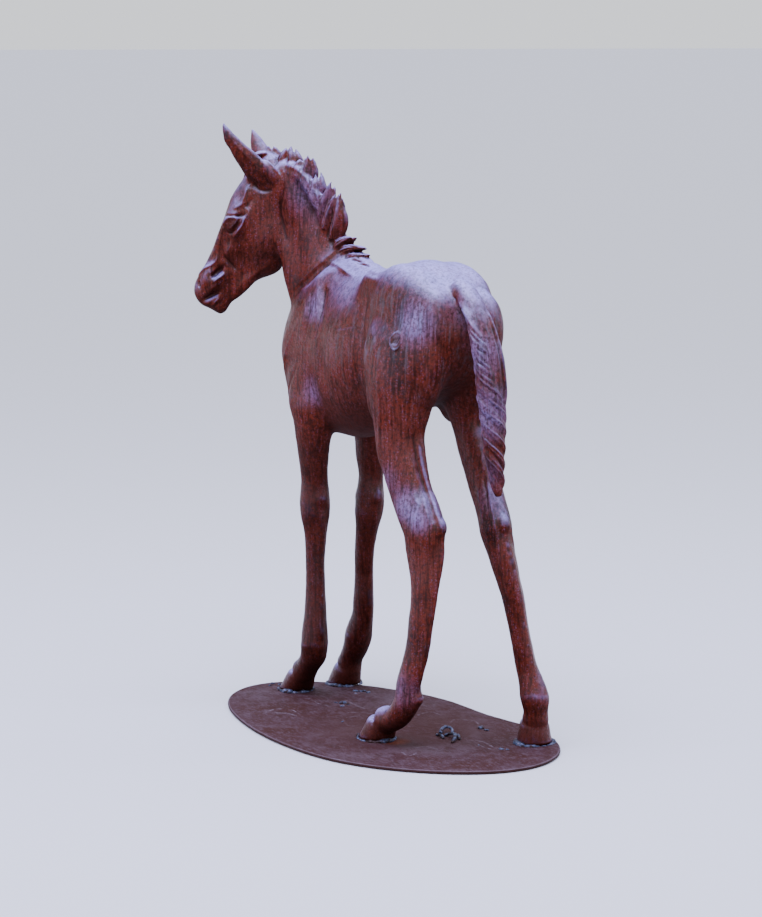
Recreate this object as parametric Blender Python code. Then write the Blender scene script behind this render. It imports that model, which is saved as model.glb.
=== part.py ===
"""A newborn foal cast in iron, standing on a thin oval plate.

The foal faces -X with its left side towards -Y, and its head is turned to its left.
The origin is the centre of the plate's underside, and +Z is up.

The foal's forms are laid down in units of its own height: 1262 units make a foal that
stands FOAL_HEIGHT tall, ears included, so at the default height a unit is a millimetre.
x runs from the tail to the chest as it falls, y is to the foal's right of its spine,
and z is the height over the plate. Each form is a closed shell. A voxel remesh welds
the shells into one skin, the valleys between them are filled as a founder's fillet
would, and then grooves and ridges are pressed into that skin.
"""

import math

import bmesh
import bpy
import numpy as np
from mathutils import Matrix, Vector
from mathutils.kdtree import KDTree

FOAL_HEIGHT = 1.262
UNITS_TALL = 1262.0
UNIT = FOAL_HEIGHT / UNITS_TALL

PLATE_THICKNESS = 0.008
PLATE_RIM_ROUND = 0.003
PLATE_END_MARGIN = 0.094
PLATE_SIDE_MARGIN = 0.056
PLATE_TURN = 4.2
PLATE_SWELLS = ((3, 0.035, 136), (4, 0.026, 155), (5, 0.015, 200))
HOOF_CLEARANCE = 0.0003

# In the foal's units: half the stance's length and width, and the spine's place on the plate
STANCE_HALF_LENGTH, STANCE_HALF_WIDTH = 384.0, 200.0
SPINE_X, SPINE_Y = -9.0, 61.0
BODY_VOXEL = 4.5
TRUNK_FOOT, TRUNK_HEAD, TRUNK_FADE = 570.0, 1120.0, 90.0
SKIN_VOXEL = 3.2
FOAL_TRIANGLES = 8900

LEFT, RIGHT = -1, 1
FORWARD = Vector((-1.0, 0.0, 0.0))
UP = Vector((0.0, 0.0, 1.0))


# Curves and closed shells

def curve_through(rows, steps):
    """Rows of numbers made into a smooth run of rows that passes through each of them."""
    rows = np.asarray(rows, float)
    padded = np.vstack([2 * rows[0] - rows[1], rows, 2 * rows[-1] - rows[-2]])
    out = []
    for i in range(1, len(rows)):
        a, b, c, d = padded[i - 1:i + 3]
        for k in range(steps):
            t = k / steps
            out.append(0.5 * (2 * b + (c - a) * t + (2 * a - 5 * b + 4 * c - d) * t * t
                              + (3 * b - a - 3 * c + d) * t ** 3))
    out.append(rows[-1])
    return np.array(out)


def close_rings(bm, rings):
    """A skin over rings of points in order, closed at both ends with a point."""
    made = [[bm.verts.new(p) for p in ring] for ring in rings]
    for lower, upper in zip(made, made[1:]):
        for i in range(len(lower)):
            j = (i + 1) % len(lower)
            bm.faces.new((lower[i], lower[j], upper[j], upper[i]))
    for ring, order in ((made[0], -1), (made[-1], 1)):
        centre = bm.verts.new(sum((v.co for v in ring), Vector()) / len(ring))
        for i in range(len(ring)):
            pair = (ring[i], ring[(i + 1) % len(ring)])
            bm.faces.new(pair[::order] + (centre,))


def heading(degrees):
    """The level direction that many degrees to the foal's left of straight ahead."""
    a = math.radians(degrees)
    return Vector((-math.cos(a), -math.sin(a), 0.0))


def tube(bm, rows, front=FORWARD, sides=20, steps=4):
    """A shell along rows of (x, y, z, half depth, half width), deep along front.

    A sixth number in the rows is each section's own heading, in place of front.
    """
    rows = curve_through(rows, steps)
    rings = []
    for i, row in enumerate(rows):
        before, after = rows[max(i - 1, 0)], rows[min(i + 1, len(rows) - 1)]
        along = Vector(after[:3] - before[:3]).normalized()
        ahead = heading(row[5]) if len(row) > 5 else Vector(front).normalized()
        deep = (ahead - along * ahead.dot(along)).normalized()
        wide = along.cross(deep)
        centre, depth, width = Vector(row[:3]), max(row[3], 0.4), max(row[4], 0.4)
        rings.append([
            centre + deep * (depth * math.cos(a)) + wide * (width * math.sin(a))
            for a in (2 * math.pi * k / sides for k in range(sides))
        ])
    close_rings(bm, rings)


def spindle(bm, start, end, depth, width, front=FORWARD, bulge=0.0):
    """A muscle: a shell that swells between two points, fullest past the middle by bulge."""
    start, end = Vector(start), Vector(end)
    rows = []
    for k in range(9):
        t = k / 8
        swell = math.sin(math.pi * t ** (1 + bulge)) ** 0.7 if 0 < k < 8 else 0.08
        point = start.lerp(end, t)
        rows.append((*point, depth * swell, width * swell))
    tube(bm, rows, front, sides=16, steps=2)


def ball(bm, place, around=26, bands=16):
    """A ball of unit radius, put in its place by a matrix."""
    rings = []
    for i in range(1, bands):
        fall = math.pi * i / bands
        ring = []
        for k in range(around):
            a = 2 * math.pi * k / around
            ring.append(place @ Vector((math.sin(fall) * math.cos(a),
                                        math.sin(fall) * math.sin(a), -math.cos(fall))))
        rings.append(ring)
    close_rings(bm, rings)


def lump(bm, centre, radii, turn=(0, 0, 0)):
    """A rounded mass: a ball with its own radii along x, y and z, turned by degrees."""
    turned = Matrix.Rotation(math.radians(turn[2]), 4, "Z")
    turned @= Matrix.Rotation(math.radians(turn[1]), 4, "Y")
    turned @= Matrix.Rotation(math.radians(turn[0]), 4, "X")
    ball(bm, Matrix.Translation(centre) @ turned @ Matrix.Diagonal((*radii, 1)))


# Body

# x, top, underside, half width, fullness of the upper half and of the lower half
TRUNK = (
    (-432, 800, 735, 20, 1.0, 1.0),
    (-422, 848, 690, 54, 1.0, 1.0),
    (-395, 890, 642, 82, 1.0, 1.0),
    (-345, 934, 604, 97, 1.15, 1.0),
    (-285, 966, 588, 103, 1.3, 1.0),
    (-220, 978, 584, 107, 1.35, 0.95),
    (-165, 966, 586, 113, 1.2, 0.95),
    (-105, 954, 598, 118, 1.05, 0.95),
    (-50, 958, 616, 116, 1.0, 1.0),
    (0, 968, 640, 108, 1.0, 1.0),
    (50, 979, 668, 104, 1.0, 1.0),
    (98, 984, 690, 104, 0.95, 1.0),
    (150, 972, 712, 96, 0.95, 1.0),
    (200, 944, 740, 80, 1.0, 1.0),
    (236, 906, 790, 54, 1.0, 1.0),
    (254, 868, 830, 20, 1.0, 1.0),
)


def power(value, exponent):
    return math.copysign(abs(value) ** exponent, value)


def trunk(bm, sides=40):
    """Chest, barrel and rump: upright sections, each with its own back and belly."""
    rings = []
    for x, top, under, half, upper, lower in curve_through(TRUNK, 4):
        middle = under + 0.46 * (top - under)
        ring = []
        for k in range(sides):
            a = 2 * math.pi * k / sides
            fullness = upper if math.sin(a) > 0 else lower
            reach = top - middle if math.sin(a) > 0 else middle - under
            ring.append(Vector((x, half * power(math.cos(a), fullness),
                                middle + reach * power(math.sin(a), fullness))))
        rings.append(ring[::-1])
    close_rings(bm, rings)


def shoulder(bm, side):
    """Shoulder blade, arm and the muscles over the elbow."""
    spindle(bm, (-222, side * 46, 946), (-384, side * 78, 742), 60, 26, FORWARD, 0.1)
    spindle(bm, (-262, side * 62, 930), (-300, side * 84, 668), 44, 26)
    lump(bm, (-346, side * 73, 752), (42, 29, 62), (0, -20, 0))
    lump(bm, (-285, side * 79, 702), (66, 29, 84), (0, 18, 0))
    spindle(bm, (-392, side * 58, 770), (-290, side * 86, 640), 34, 26)
    spindle(bm, (-422, side * 32, 830), (-370, side * 50, 664), 36, 34)


def rump(bm, side):
    """Loin, hip bone, rump, thigh and buttock; the right buttock is drawn further back."""
    lump(bm, (104, side * 54, 894), (120, 58, 84), (0, 8, 0))
    lump(bm, (-6, side * 74, 890), (64, 16, 54), (0, 20, 0))
    spindle(bm, (-80, side * 56, 944), (70, side * 60, 930), 24, 32, UP)
    lump(bm, (158, side * 68, 802), (74, 46, 122), (0, -10, 0))
    lump(bm, (72, side * 84, 752), (70, 40, 120), (0, 14, 0))
    spindle(bm, (220, side * 46, 884), (172, side * 78, 668), 38, 40)
    if side == RIGHT:
        lump(bm, (206, 50, 848), (56, 47, 80))
    else:
        lump(bm, (192, -50, 860), (52, 44, 80))


# Limbs: x, y, z, half depth, half width, from the body down

LEFT_FORE = (
    (-300, -66, 720, 62, 40),
    (-284, -74, 660, 62, 41),
    (-276, -72, 618, 56, 38),
    (-278, -70, 580, 51, 34),
    (-281, -67, 530, 42, 29.5),
    (-283, -64, 488, 35, 27.5),
    (-285, -62, 456, 35, 31),
    (-285, -62, 430, 36, 33),
    (-284, -62, 404, 33, 31),
    (-284, -61, 372, 27.5, 25),
    (-285, -61, 330, 24.5, 22),
    (-286, -61, 285, 24, 20.5),
    (-287, -60, 230, 25, 21.5),
    (-288, -60, 180, 28, 25),
    (-290, -61, 146, 31, 28),
    (-291, -61, 118, 33, 29),
    (-302, -58, 92, 31, 28),
    (-326, -57, 66, 26, 26),
    (-350, -57, 44, 30, 30),
)
RIGHT_FORE = (
    (-300, 66, 720, 62, 40),
    (-274, 72, 660, 62, 41),
    (-262, 70, 618, 56, 38),
    (-262, 68, 580, 51, 34),
    (-262, 65, 530, 42, 29.5),
    (-261, 65, 488, 32, 25.5),
    (-262, 64, 456, 32, 29),
    (-263, 64, 430, 33, 31),
    (-266, 62, 404, 33, 31),
    (-273, 62, 372, 28, 25),
    (-284, 63, 330, 26, 21),
    (-290, 64, 285, 25, 20),
    (-294, 66, 240, 25, 20),
    (-298, 67, 200, 28, 21.5),
    (-304, 69, 170, 28, 22),
    (-315, 69, 140, 30, 27),
    (-324, 69, 118, 33, 30),
    (-334, 68, 92, 30, 28),
    (-350, 66, 66, 26, 26),
    (-362, 66, 44, 30, 30),
)
LEFT_HIND = (
    (108, -48, 902, 36, 26),
    (112, -62, 872, 74, 40),
    (118, -74, 836, 92, 49),
    (124, -82, 790, 96, 54),
    (129, -89, 735, 82, 52),
    (130, -92, 677, 69, 46),
    (130, -94, 640, 58, 42),
    (138, -95, 600, 55, 38),
    (149, -95, 575, 52, 35),
    (165, -94, 540, 50, 32),
    (180, -92, 510, 49, 30),
    (203, -91, 480, 50, 30),
    (217, -90, 455, 50, 31),
    (220, -89, 436, 48, 31),
    (221, -89, 404, 43, 28),
    (227, -91, 370, 37, 25),
    (231, -95, 340, 32, 22),
    (231, -99, 300, 28, 21),
    (228, -104, 250, 26, 21),
    (223, -109, 200, 25, 21),
    (217, -117, 160, 25, 22),
    (211, -120, 130, 27, 24),
    (207, -119, 100, 28, 27),
    (199, -121, 84, 27, 27),
    (186, -123, 68, 26, 27),
    (163, -125, 52, 26, 27),
    (128, -129, 42, 30, 30),
)
RIGHT_HIND = (
    (108, 48, 902, 36, 26),
    (112, 61, 872, 74, 41),
    (118, 72, 836, 93, 50),
    (124, 79, 790, 98, 56),
    (125, 81, 735, 88, 55),
    (125, 80, 685, 72, 51),
    (135, 80, 640, 50, 42),
    (154, 78, 600, 53, 38),
    (175, 76, 560, 51, 35),
    (195, 73, 520, 48, 31),
    (216, 71, 490, 46, 30),
    (234, 70, 455, 47, 31),
    (239, 71, 436, 46, 31),
    (250, 73, 404, 41, 27),
    (260, 78, 370, 40, 25),
    (268, 82, 340, 36, 22.5),
    (276, 90, 300, 32, 21.5),
    (284, 96, 250, 26, 20),
    (290, 104, 200, 26, 20.5),
    (294, 111, 160, 27, 21.5),
    (304, 116, 130, 30, 25),
    (312, 120, 100, 33, 28),
    (311, 124, 64, 30, 28),
    (304, 126, 46, 30, 29),
)
LEFT_HIND_HEADING, RIGHT_HIND_HEADING = 20.0, -10.0
KNEE_HEIGHT, FETLOCK_HEIGHT = 430.0, 118.0
HOCK_HEIGHT, HIND_FETLOCK_HEIGHT = 436.0, 104.0
SINEW_STAND = 6.0

# x, y of the hoof's middle on the ground, and how far its toe is turned, in degrees
HOOVES = {
    "left_fore": (-384, -56, 3.0, (-350, -57, 44)),
    "right_fore": (-384, 66, -3.0, (-362, 66, 44)),
    "left_hind": (102, -131, 12.0, (126, -129, 42)),
    "right_hind": (298, 130, -12.0, (304, 126, 46)),
}
HOOF_HALF_LENGTH, HOOF_HALF_WIDTH = 41.0, 35.0


def hoof(bm, x, y, toe, coronet):
    """A small hoof: an oval foot that leans back to the coronet, lower at the heel."""
    ahead = heading(toe)
    across = ahead.cross(UP)
    top = Vector(coronet)
    sole = Vector((x, y, 0.0))
    rings = []
    for t, grow in ((0.0, 1.0), (0.12, 1.02), (0.5, 0.94), (0.86, 0.86), (0.95, 0.82), (1.0, 0.7)):
        ring = []
        for k in range(28):
            a = 2 * math.pi * k / 28
            long, wide = math.cos(a), math.sin(a)
            reach = HOOF_HALF_LENGTH * (long if long > 0 else long * 0.86)
            lift = t * (top.z + 6 * long)
            centre = sole.lerp(top, t)
            ring.append(Vector((centre.x, centre.y, lift))
                        + ahead * (reach * grow) + across * (HOOF_HALF_WIDTH * wide * grow))
        rings.append(ring)
    close_rings(bm, rings)


def at_height(rows, height):
    """A limb's middle and its half depth at a height."""
    rows = curve_through(rows, 4)
    x, y, depth = (np.interp(-height, -rows[:, 2], rows[:, k]) for k in (0, 1, 3))
    return Vector((x, y, height)), depth


def sinew(bm, rows, back, high, low, thick):
    """The cord that stands out behind a limb from one height down to another."""
    run = []
    count = 9
    for k in range(count + 1):
        middle, depth = at_height(rows, high + (low - high) * k / count)
        round_off = 0.6 if k in (0, count) else 1.0
        run.append((*(middle + back * (depth + SINEW_STAND - thick)),
                    thick * round_off, thick * round_off))
    tube(bm, run, back, sides=14)


def fore_limb(bm, rows):
    """Forearm, knee, cannon bone, sinews and fetlock."""
    tube(bm, rows, FORWARD, sides=24)
    knee, _ = at_height(rows, KNEE_HEIGHT)
    fetlock, _ = at_height(rows, FETLOCK_HEIGHT)
    lump(bm, knee + Vector((-14, 0, 6)), (24, 27, 34))
    lump(bm, knee + Vector((26, 0, 14)), (16, 15, 24))
    sinew(bm, rows, -FORWARD, KNEE_HEIGHT - 10, FETLOCK_HEIGHT + 14, 9)
    lump(bm, fetlock + Vector((20, 0, 2)), (15, 19, 17))
    for flank in (LEFT, RIGHT):
        lump(bm, fetlock + Vector((2, flank * 15, 2)), (18, 17, 20))


def hind_limb(bm, rows, degrees):
    """Gaskin, hock with its point, cannon bone, sinews and fetlock."""
    ahead = heading(degrees)
    tube(bm, rows, ahead, sides=24)
    hock, depth = at_height(rows, HOCK_HEIGHT)
    fetlock, _ = at_height(rows, HIND_FETLOCK_HEIGHT)
    back = -ahead
    point = hock + back * (depth - 6) + UP * 22
    lump(bm, point, (14, 14, 20), (0, -14, -degrees))
    sinew(bm, rows, back, 640, HOCK_HEIGHT + 8, 14)
    sinew(bm, rows, back, HOCK_HEIGHT + 12, HIND_FETLOCK_HEIGHT + 16, 11)
    lump(bm, hock + ahead * 14 + UP * 2, (28, 28, 36), (0, 0, -degrees))
    lump(bm, fetlock + back * 17, (16, 20, 18), (0, 0, -degrees))


# Neck and head

# x, y, z, half depth, half width, and the section's heading in degrees
NECK = (
    (-298, 0, 800, 116, 70, 0),
    (-310, -2, 860, 105, 66, 4),
    (-322, -6, 920, 90, 58, 9),
    (-344, -15, 980, 78, 49, 16),
    (-366, -27, 1036, 68, 43, 25),
    (-384, -43, 1086, 60, 41, 37),
    (-405, -59, 1122, 52, 39, 47),
    (-425, -70, 1146, 42, 36, 54),
)

# The crest, from the poll to the withers, where the mane is rooted
CREST = (
    (-452, -76, 1168),
    (-420, -72, 1171),
    (-389, -66, 1169),
    (-350, -57, 1159),
    (-323, -49, 1137),
    (-304, -42, 1112),
    (-289, -34, 1086),
    (-281, -24, 1053),
    (-277, -15, 1021),
    (-262, -8, 998),
    (-236, -3, 984),
    (-204, 0, 974),
    (-150, 0, 962),
)
CREST_ROUND = 15.0

POLL = Vector((-445, -78, 1160))
HEAD_TURN, HEAD_DROP = 60.0, 62.4


def head_axes():
    """The head's own directions: down the face, out of the forehead, and to its left."""
    turn, drop = math.radians(HEAD_TURN), math.radians(HEAD_DROP)
    level = Vector((-math.cos(turn), -math.sin(turn), 0))
    down_face = level * math.cos(drop) - UP * math.sin(drop)
    out_face = level * math.sin(drop) + UP * math.cos(drop)
    return down_face, out_face, out_face.cross(down_face)


DOWN_FACE, OUT_FACE, HEAD_LEFT = head_axes()


def on_head(u, v, w=0.0):
    """A point u below the poll along the face, v out from it and w to the head's left."""
    return POLL + DOWN_FACE * u + OUT_FACE * v + HEAD_LEFT * w


# distance below the poll, brow line, jaw line, half width above and at the jaw
SKULL = (
    (-22, 14, -22, 20, 18),
    (-10, 28, -34, 36, 28),
    (20, 35, -48, 45, 36),
    (60, 42, -66, 52, 42),
    (100, 46, -88, 58, 44),
    (135, 43, -106, 61, 44),
    (165, 38, -118, 56, 42),
    (190, 35, -124, 46, 38),
    (210, 33, -116, 40, 33),
    (232, 31, -94, 35, 29),
    (252, 31, -78, 33, 28),
    (275, 31, -65, 33, 27),
    (298, 32, -54, 35, 28),
    (316, 30, -47, 34, 27),
    (332, 20, -41, 27, 23),
    (343, 1, -33, 14, 13),
)


def head(bm, sides=36):
    """Skull, cheeks, brows, muzzle, lips and chin."""
    rings = []
    for u, brow, jaw, wide, low in curve_through(SKULL, 4):
        ring = []
        for k in range(sides):
            a = 2 * math.pi * k / sides
            rise = 0.5 + 0.5 * math.sin(a)
            half = low + (wide - low) * rise
            v = jaw + (brow - jaw) * rise
            ring.append(on_head(u, v, half * power(math.cos(a), 0.85)))
        rings.append(ring)
    close_rings(bm, rings)
    for side in (LEFT, RIGHT):
        cheek = on_head(142, -52, -side * 30)
        face_lump(bm, cheek, (58, 52, 24))
        face_lump(bm, on_head(148, 22, -side * 50), (26, 13, 14), 12)
        face_lump(bm, on_head(160, 8, -side * 49), (19, 15, 13), 12)
        face_lump(bm, on_head(283, 4, -side * 24), (30, 22, 16), -8)
        face_lump(bm, on_head(322, -12, -side * 15), (22, 26, 16), -20)
        face_lump(bm, on_head(326, -44, -side * 10), (20, 16, 15), 0)
        for start, end, depth, width in (
            ((178, -12, 44), (232, -8, 32), 8, 8),
            ((210, -86, 26), (322, -50, 17), 12, 10),
            ((100, 34, 40), (240, 24, 20), 9, 12),
        ):
            spindle(bm, on_head(start[0], start[1], -side * start[2]),
                    on_head(end[0], end[1], -side * end[2]), depth, width, OUT_FACE)


def face_lump(bm, centre, radii, tilt=0.0):
    """A rounded mass whose radii lie down the face, out of it and across it."""
    frame = Matrix((DOWN_FACE, OUT_FACE, HEAD_LEFT)).transposed().to_4x4()
    frame @= Matrix.Rotation(math.radians(tilt), 4, "Z")
    ball(bm, Matrix.Translation(centre) @ frame @ Matrix.Diagonal((*radii, 1)))


def neck(bm):
    """Neck, crest and windpipe, turned to the left as it rises."""
    tube(bm, NECK, sides=28)
    rows = []
    for i, (x, y, z) in enumerate(CREST[1:-2]):
        down = Vector((-0.55, -0.2, -0.8)) if 1 < i < 9 else Vector((0, 0, -1))
        rows.append((*(Vector((x, y, z)) + down * CREST_ROUND), CREST_ROUND, CREST_ROUND))
    tube(bm, rows, heading(90), sides=14)
    for side, start in ((LEFT, (-346, -58, 810)), (RIGHT, (-346, 58, 810))):
        spindle(bm, start, on_head(60, -60, -side * 26), 28, 18, heading(30))


# Ears, mane, forelock and tail

def lock(bm, path, thick, wide, front, blunt=False):
    """A lock of hair along a path, fullest a third of the way, with a pointed or blunt tip."""
    path = curve_through(path, 2)
    count = len(path) - 1
    rows = []
    for i, point in enumerate(path):
        t = i / count
        swell = max(0.06, (1 - t) ** 0.5 * (0.55 + 0.45 * math.sin(math.pi * min(1, t * 1.5))))
        if blunt:
            swell = max(0.12, (1 - t ** 3) ** 0.5 * (0.74 + 0.26 * math.sin(math.pi * min(1, t * 1.5))))
        rows.append((*point, thick * swell, wide * swell))
    tube(bm, rows, front, sides=10, steps=2)


# Each ear's spine, from root to tip, as distances on the head, with its half widths
LEFT_EAR = (
    (40, -8, 34, 12, 22),
    (29, 18, 38, 16, 28),
    (17, 47, 44, 14, 26),
    (5, 77, 50, 12, 21),
    (-10, 105, 52, 8, 14),
    (-24, 124, 51, 5, 7),
    (-34, 134, 49, 1.5, 2),
)
RIGHT_EAR = (
    (30, -14, -34, 12, 22),
    (12, 10, -40, 15, 26),
    (-8, 34, -48, 13, 22),
    (-26, 54, -56, 8, 14),
    (-39, 68, -61, 4, 6),
    (-45, 75, -63, 1.5, 2),
)


# The rounded root behind each ear: its middle on the head
EAR_ROOTS = ((16, -8, 48), (8, -16, -46))
EAR_ROOT_RADII, EAR_ROOT_TILT = (15, 34, 13), 29.0


def ear(bm, spine, root):
    """A long leaf of an ear that tapers to a point, with a rounded root behind it."""
    face_lump(bm, on_head(*root), EAR_ROOT_RADII, EAR_ROOT_TILT)
    rows = [(*on_head(u, v, w), thick, wide) for u, v, w, thick, wide in spine]
    tube(bm, rows, HEAD_LEFT, sides=20)


# Each lock of the mane: its foot, its middle, its tip and its half width
MANE = (
    ((-446, -65, 1160), (-450, -72, 1182), (-452, -76, 1199), 10),
    ((-411, -61, 1150), (-411, -61, 1174), (-408, -57, 1194), 14),
    ((-382, -50, 1146), (-384, -52, 1170), (-387, -56, 1191), 10),
    ((-358, -50, 1140), (-358, -50, 1160), (-357, -49, 1175), 10),
    ((-338, -46, 1124), (-336, -42, 1150), (-336, -43, 1176), 11),
    ((-314, -40, 1090), (-309, -36, 1116), (-311, -37, 1140), 10),
    ((-292, -31, 1056), (-285, -26, 1088), (-278, -20, 1121), 11),
    ((-284, -28, 1024), (-275, -22, 1060), (-264, -16, 1097), 10),
    ((-270, -18, 1004), (-256, -13, 1046), (-256, -14, 1088), 12),
    ((-268, -13, 984), (-243, -6, 1001), (-222, 1, 1012), 9),
    ((-257, -6, 976), (-222, 1, 988), (-190, 9, 989), 9),
    ((-232, 0, 967), (-204, 4, 973), (-180, 8, 974), 7),
    ((-206, 3, 961), (-183, 6, 963), (-163, 9, 960), 6),
    ((-183, 3, 953), (-153, 6, 955), (-128, 8, 950), 5),
)
MANE_THICKNESS = 12.0
MANE_OVERREACH = 1.05
MANE_FULLNESS = 1.0


def mane(bm, strands=1):
    """Blunt locks that stand along the crest in two rows, each of one strand or more."""
    for i, (foot, middle, tip, wide) in enumerate(MANE):
        foot, middle = Vector(foot), Vector(middle)
        rise = (Vector(tip) - foot) * MANE_OVERREACH
        across = rise.cross(Vector((0.4, 1.0, 0.0))).cross(rise).normalized()
        outward = rise.cross(across).normalized()
        if outward.x < 0:
            outward = -outward
        for row in (LEFT, RIGHT):
            shift = across * (row * MANE_THICKNESS * 0.6)
            slip = rise * (0.05 * row * (1 if i % 2 else -1))
            for k in range(strands):
                aside = outward * (wide * MANE_FULLNESS * (2 * k - strands + 1) / (2 * strands))
                lift = rise * (0.07 * ((k + i) % 3 - 1) * (strands > 1))
                lock(bm, [foot + shift + aside, middle + shift * 1.15 + aside,
                          foot + rise + shift * 0.7 + slip + aside * 0.6 + lift],
                     MANE_THICKNESS, wide * MANE_FULLNESS / strands ** 0.5, across, blunt=True)


def forelock(bm):
    """Strands that fall forward between the ears."""
    for w, reach in ((-16, 40), (-5, 62), (7, 58), (18, 44)):
        lock(bm, [on_head(-18, 20, w), on_head(4, 44, w * 1.1), on_head(reach, 42, w * 1.2)],
             8, 9, OUT_FACE)


TAIL = (
    (206, 0, 938, 18, 22),
    (238, 0, 920, 21, 24),
    (267, 1, 892, 20, 24),
    (287, 5, 850, 19, 28),
    (298, 10, 800, 20, 31),
    (304, 15, 740, 21, 33),
    (305, 19, 690, 20, 30),
    (304, 23, 630, 17, 25),
    (305, 26, 575, 14, 17),
    (308, 29, 540, 11, 13),
    (310, 31, 519, 6, 7),
)
# Each lock that crosses the tail's back: its two heights, and how far across it goes
TAIL_LOCKS = (
    (908, 800, 0.50), (872, 752, 0.56), (832, 712, 0.66), (792, 690, 0.92),
    (762, 668, 1.0), (728, 638, 1.0), (692, 604, 1.0), (656, 570, 1.0), (622, 538, 1.0),
)
TAIL_LOCK_WIDTH = 10.0
# A smooth band down the right of the tail's upper half: heights and half widths
TAIL_BAND = ((900, 5), (870, 9), (820, 11), (770, 11), (725, 9), (694, 4))


def tail_at(height):
    """The tail's middle and its half depth and width at a height."""
    rows = curve_through(TAIL, 8)
    return [np.interp(-height, -rows[:, 2], rows[:, k]) for k in (0, 1, 3, 4)]


def on_tail(height, degrees, share=1.0):
    """A point on the tail: 0 degrees is its right edge, 90 its back and 180 its left edge."""
    x, y, depth, width = tail_at(height)
    a = math.radians(degrees)
    return Vector((x + share * depth * math.sin(a), y + share * width * math.cos(a), height))


def tail(bm):
    """A thick hanging tail, with locks that cross it from its left edge to its right."""
    tube(bm, TAIL, FORWARD, sides=20)
    for high, low, reach in TAIL_LOCKS:
        rows = []
        for k in range(8):
            t = k / 7
            spot = on_tail(high + (low - high) * t, 192 - 172 * t * reach, 0.95)
            swell = TAIL_LOCK_WIDTH * (0.5, 0.8, 0.95, 1.0, 0.95, 0.85, 0.7, 0.3)[k]
            rows.append((*spot, swell * 0.8, swell))
        tube(bm, rows, FORWARD, sides=10, steps=3)
    band = [(*on_tail(high, 44, 0.84), half, half) for high, half in TAIL_BAND]
    tube(bm, band, FORWARD, sides=12)


# Grooves and ridges: how far each fades across, how deep it goes, and its path

# On the head: each path's points are (down the face, out of it, across it)
FACE_STROKES = (
    (9, 3.0, ((124, 30, 45), (108, 17, 45), (89, 6, 48))),
    (6, -2.5, ((134, 20, 59), (120, 0, 51))),
    (8, -3.5, ((168, 30, 52), (174, 9, 54))),
    (9, 2.5, ((103, -3, 50), (137, -1, 53), (170, -2, 50), (196, -4, 41), (218, -4, 36))),
    (7, 3.0, ((230, 12, 29), (246, 12, 27), (264, 20, 20), (278, 25, 11), (292, 22, 15))),
    (8, -3.5, ((223, 4, 32), (229, -16, 34), (238, -37, 31))),
    (8, -6.0, ((247, -7, 31), (260, -3, 33), (275, 6, 36))),
    (8, 2.5, ((257, -20, 31), (284, -8, 37), (300, -4, 36))),
    (6, -4.5, ((294, -26, 30), (309, -18, 31), (326, -6, 29), (338, 0, 20))),
    (8, 2.0, ((311, -33, 27), (332, -24, 25))),
    (11, -5.0, ((0, -19, 52), (36, -47, 64), (95, -80, 50), (132, -102, 54))),
)
# On the body and neck, as seen on the left side
BODY_STROKES = (
    (14, 3.0, ((-238, -12, 1000), (-273, -37, 966), (-315, -61, 932), (-357, -74, 899))),
    (10, -3.4, ((-240, -34, 985), (-272, -50, 948), (-312, -70, 914), (-350, -80, 884))),
    (11, 3.0, ((-273, -40, 957), (-250, -30, 956), (-187, -39, 945), (-144, -46, 937))),
    (9, -3.2, ((-231, -66, 902), (-217, -74, 884), (-179, -103, 816))),
    (9, -2.4, ((-268, -77, 899), (-265, -89, 857), (-267, -97, 810))),
    (20, -3.4, ((16, -88, 939), (-10, -98, 883), (1, -106, 819), (24, -120, 740), (0, -96, 690))),
    (17, -5.0, ((-188, -103, 811), (-169, -112, 770), (-153, -111, 716), (-145, -105, 685))),
)


def strokes():
    """Every groove and ridge, on both sides of the foal."""
    out = []
    for side in (LEFT, RIGHT):
        for reach, depth, path in FACE_STROKES:
            out.append((reach, depth, [on_head(u, v, -side * w) for u, v, w in path]))
        for reach, depth, path in BODY_STROKES:
            out.append((reach, depth, [(x, -side * y, z) for x, y, z in path]))
    return out


# Welding and carving

def mesh_of(build, name):
    """A mesh that holds what a function builds, in units."""
    bm = bmesh.new()
    build(bm)
    bmesh.ops.recalc_face_normals(bm, faces=bm.faces)
    mesh = bpy.data.meshes.new(name)
    bm.to_mesh(mesh)
    bm.free()
    return mesh


def evaluated(mesh, *modifiers):
    """The mesh after the modifiers, given as (kind, settings)."""
    obj = bpy.data.objects.new("blank", mesh)
    bpy.context.scene.collection.objects.link(obj)
    for kind, settings in modifiers:
        modifier = obj.modifiers.new(kind.lower(), kind)
        for name, value in settings.items():
            setattr(modifier, name, value)
    graph = bpy.context.evaluated_depsgraph_get()
    made = bpy.data.meshes.new_from_object(obj.evaluated_get(graph))
    bpy.data.objects.remove(obj)
    return made


def welded(mesh, voxel):
    return evaluated(mesh, ("REMESH", {"mode": "VOXEL", "voxel_size": voxel}))


def joined(*meshes):
    bm = bmesh.new()
    for mesh in meshes:
        bm.from_mesh(mesh)
    made = bpy.data.meshes.new("joined")
    bm.to_mesh(made)
    bm.free()
    return made


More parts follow.
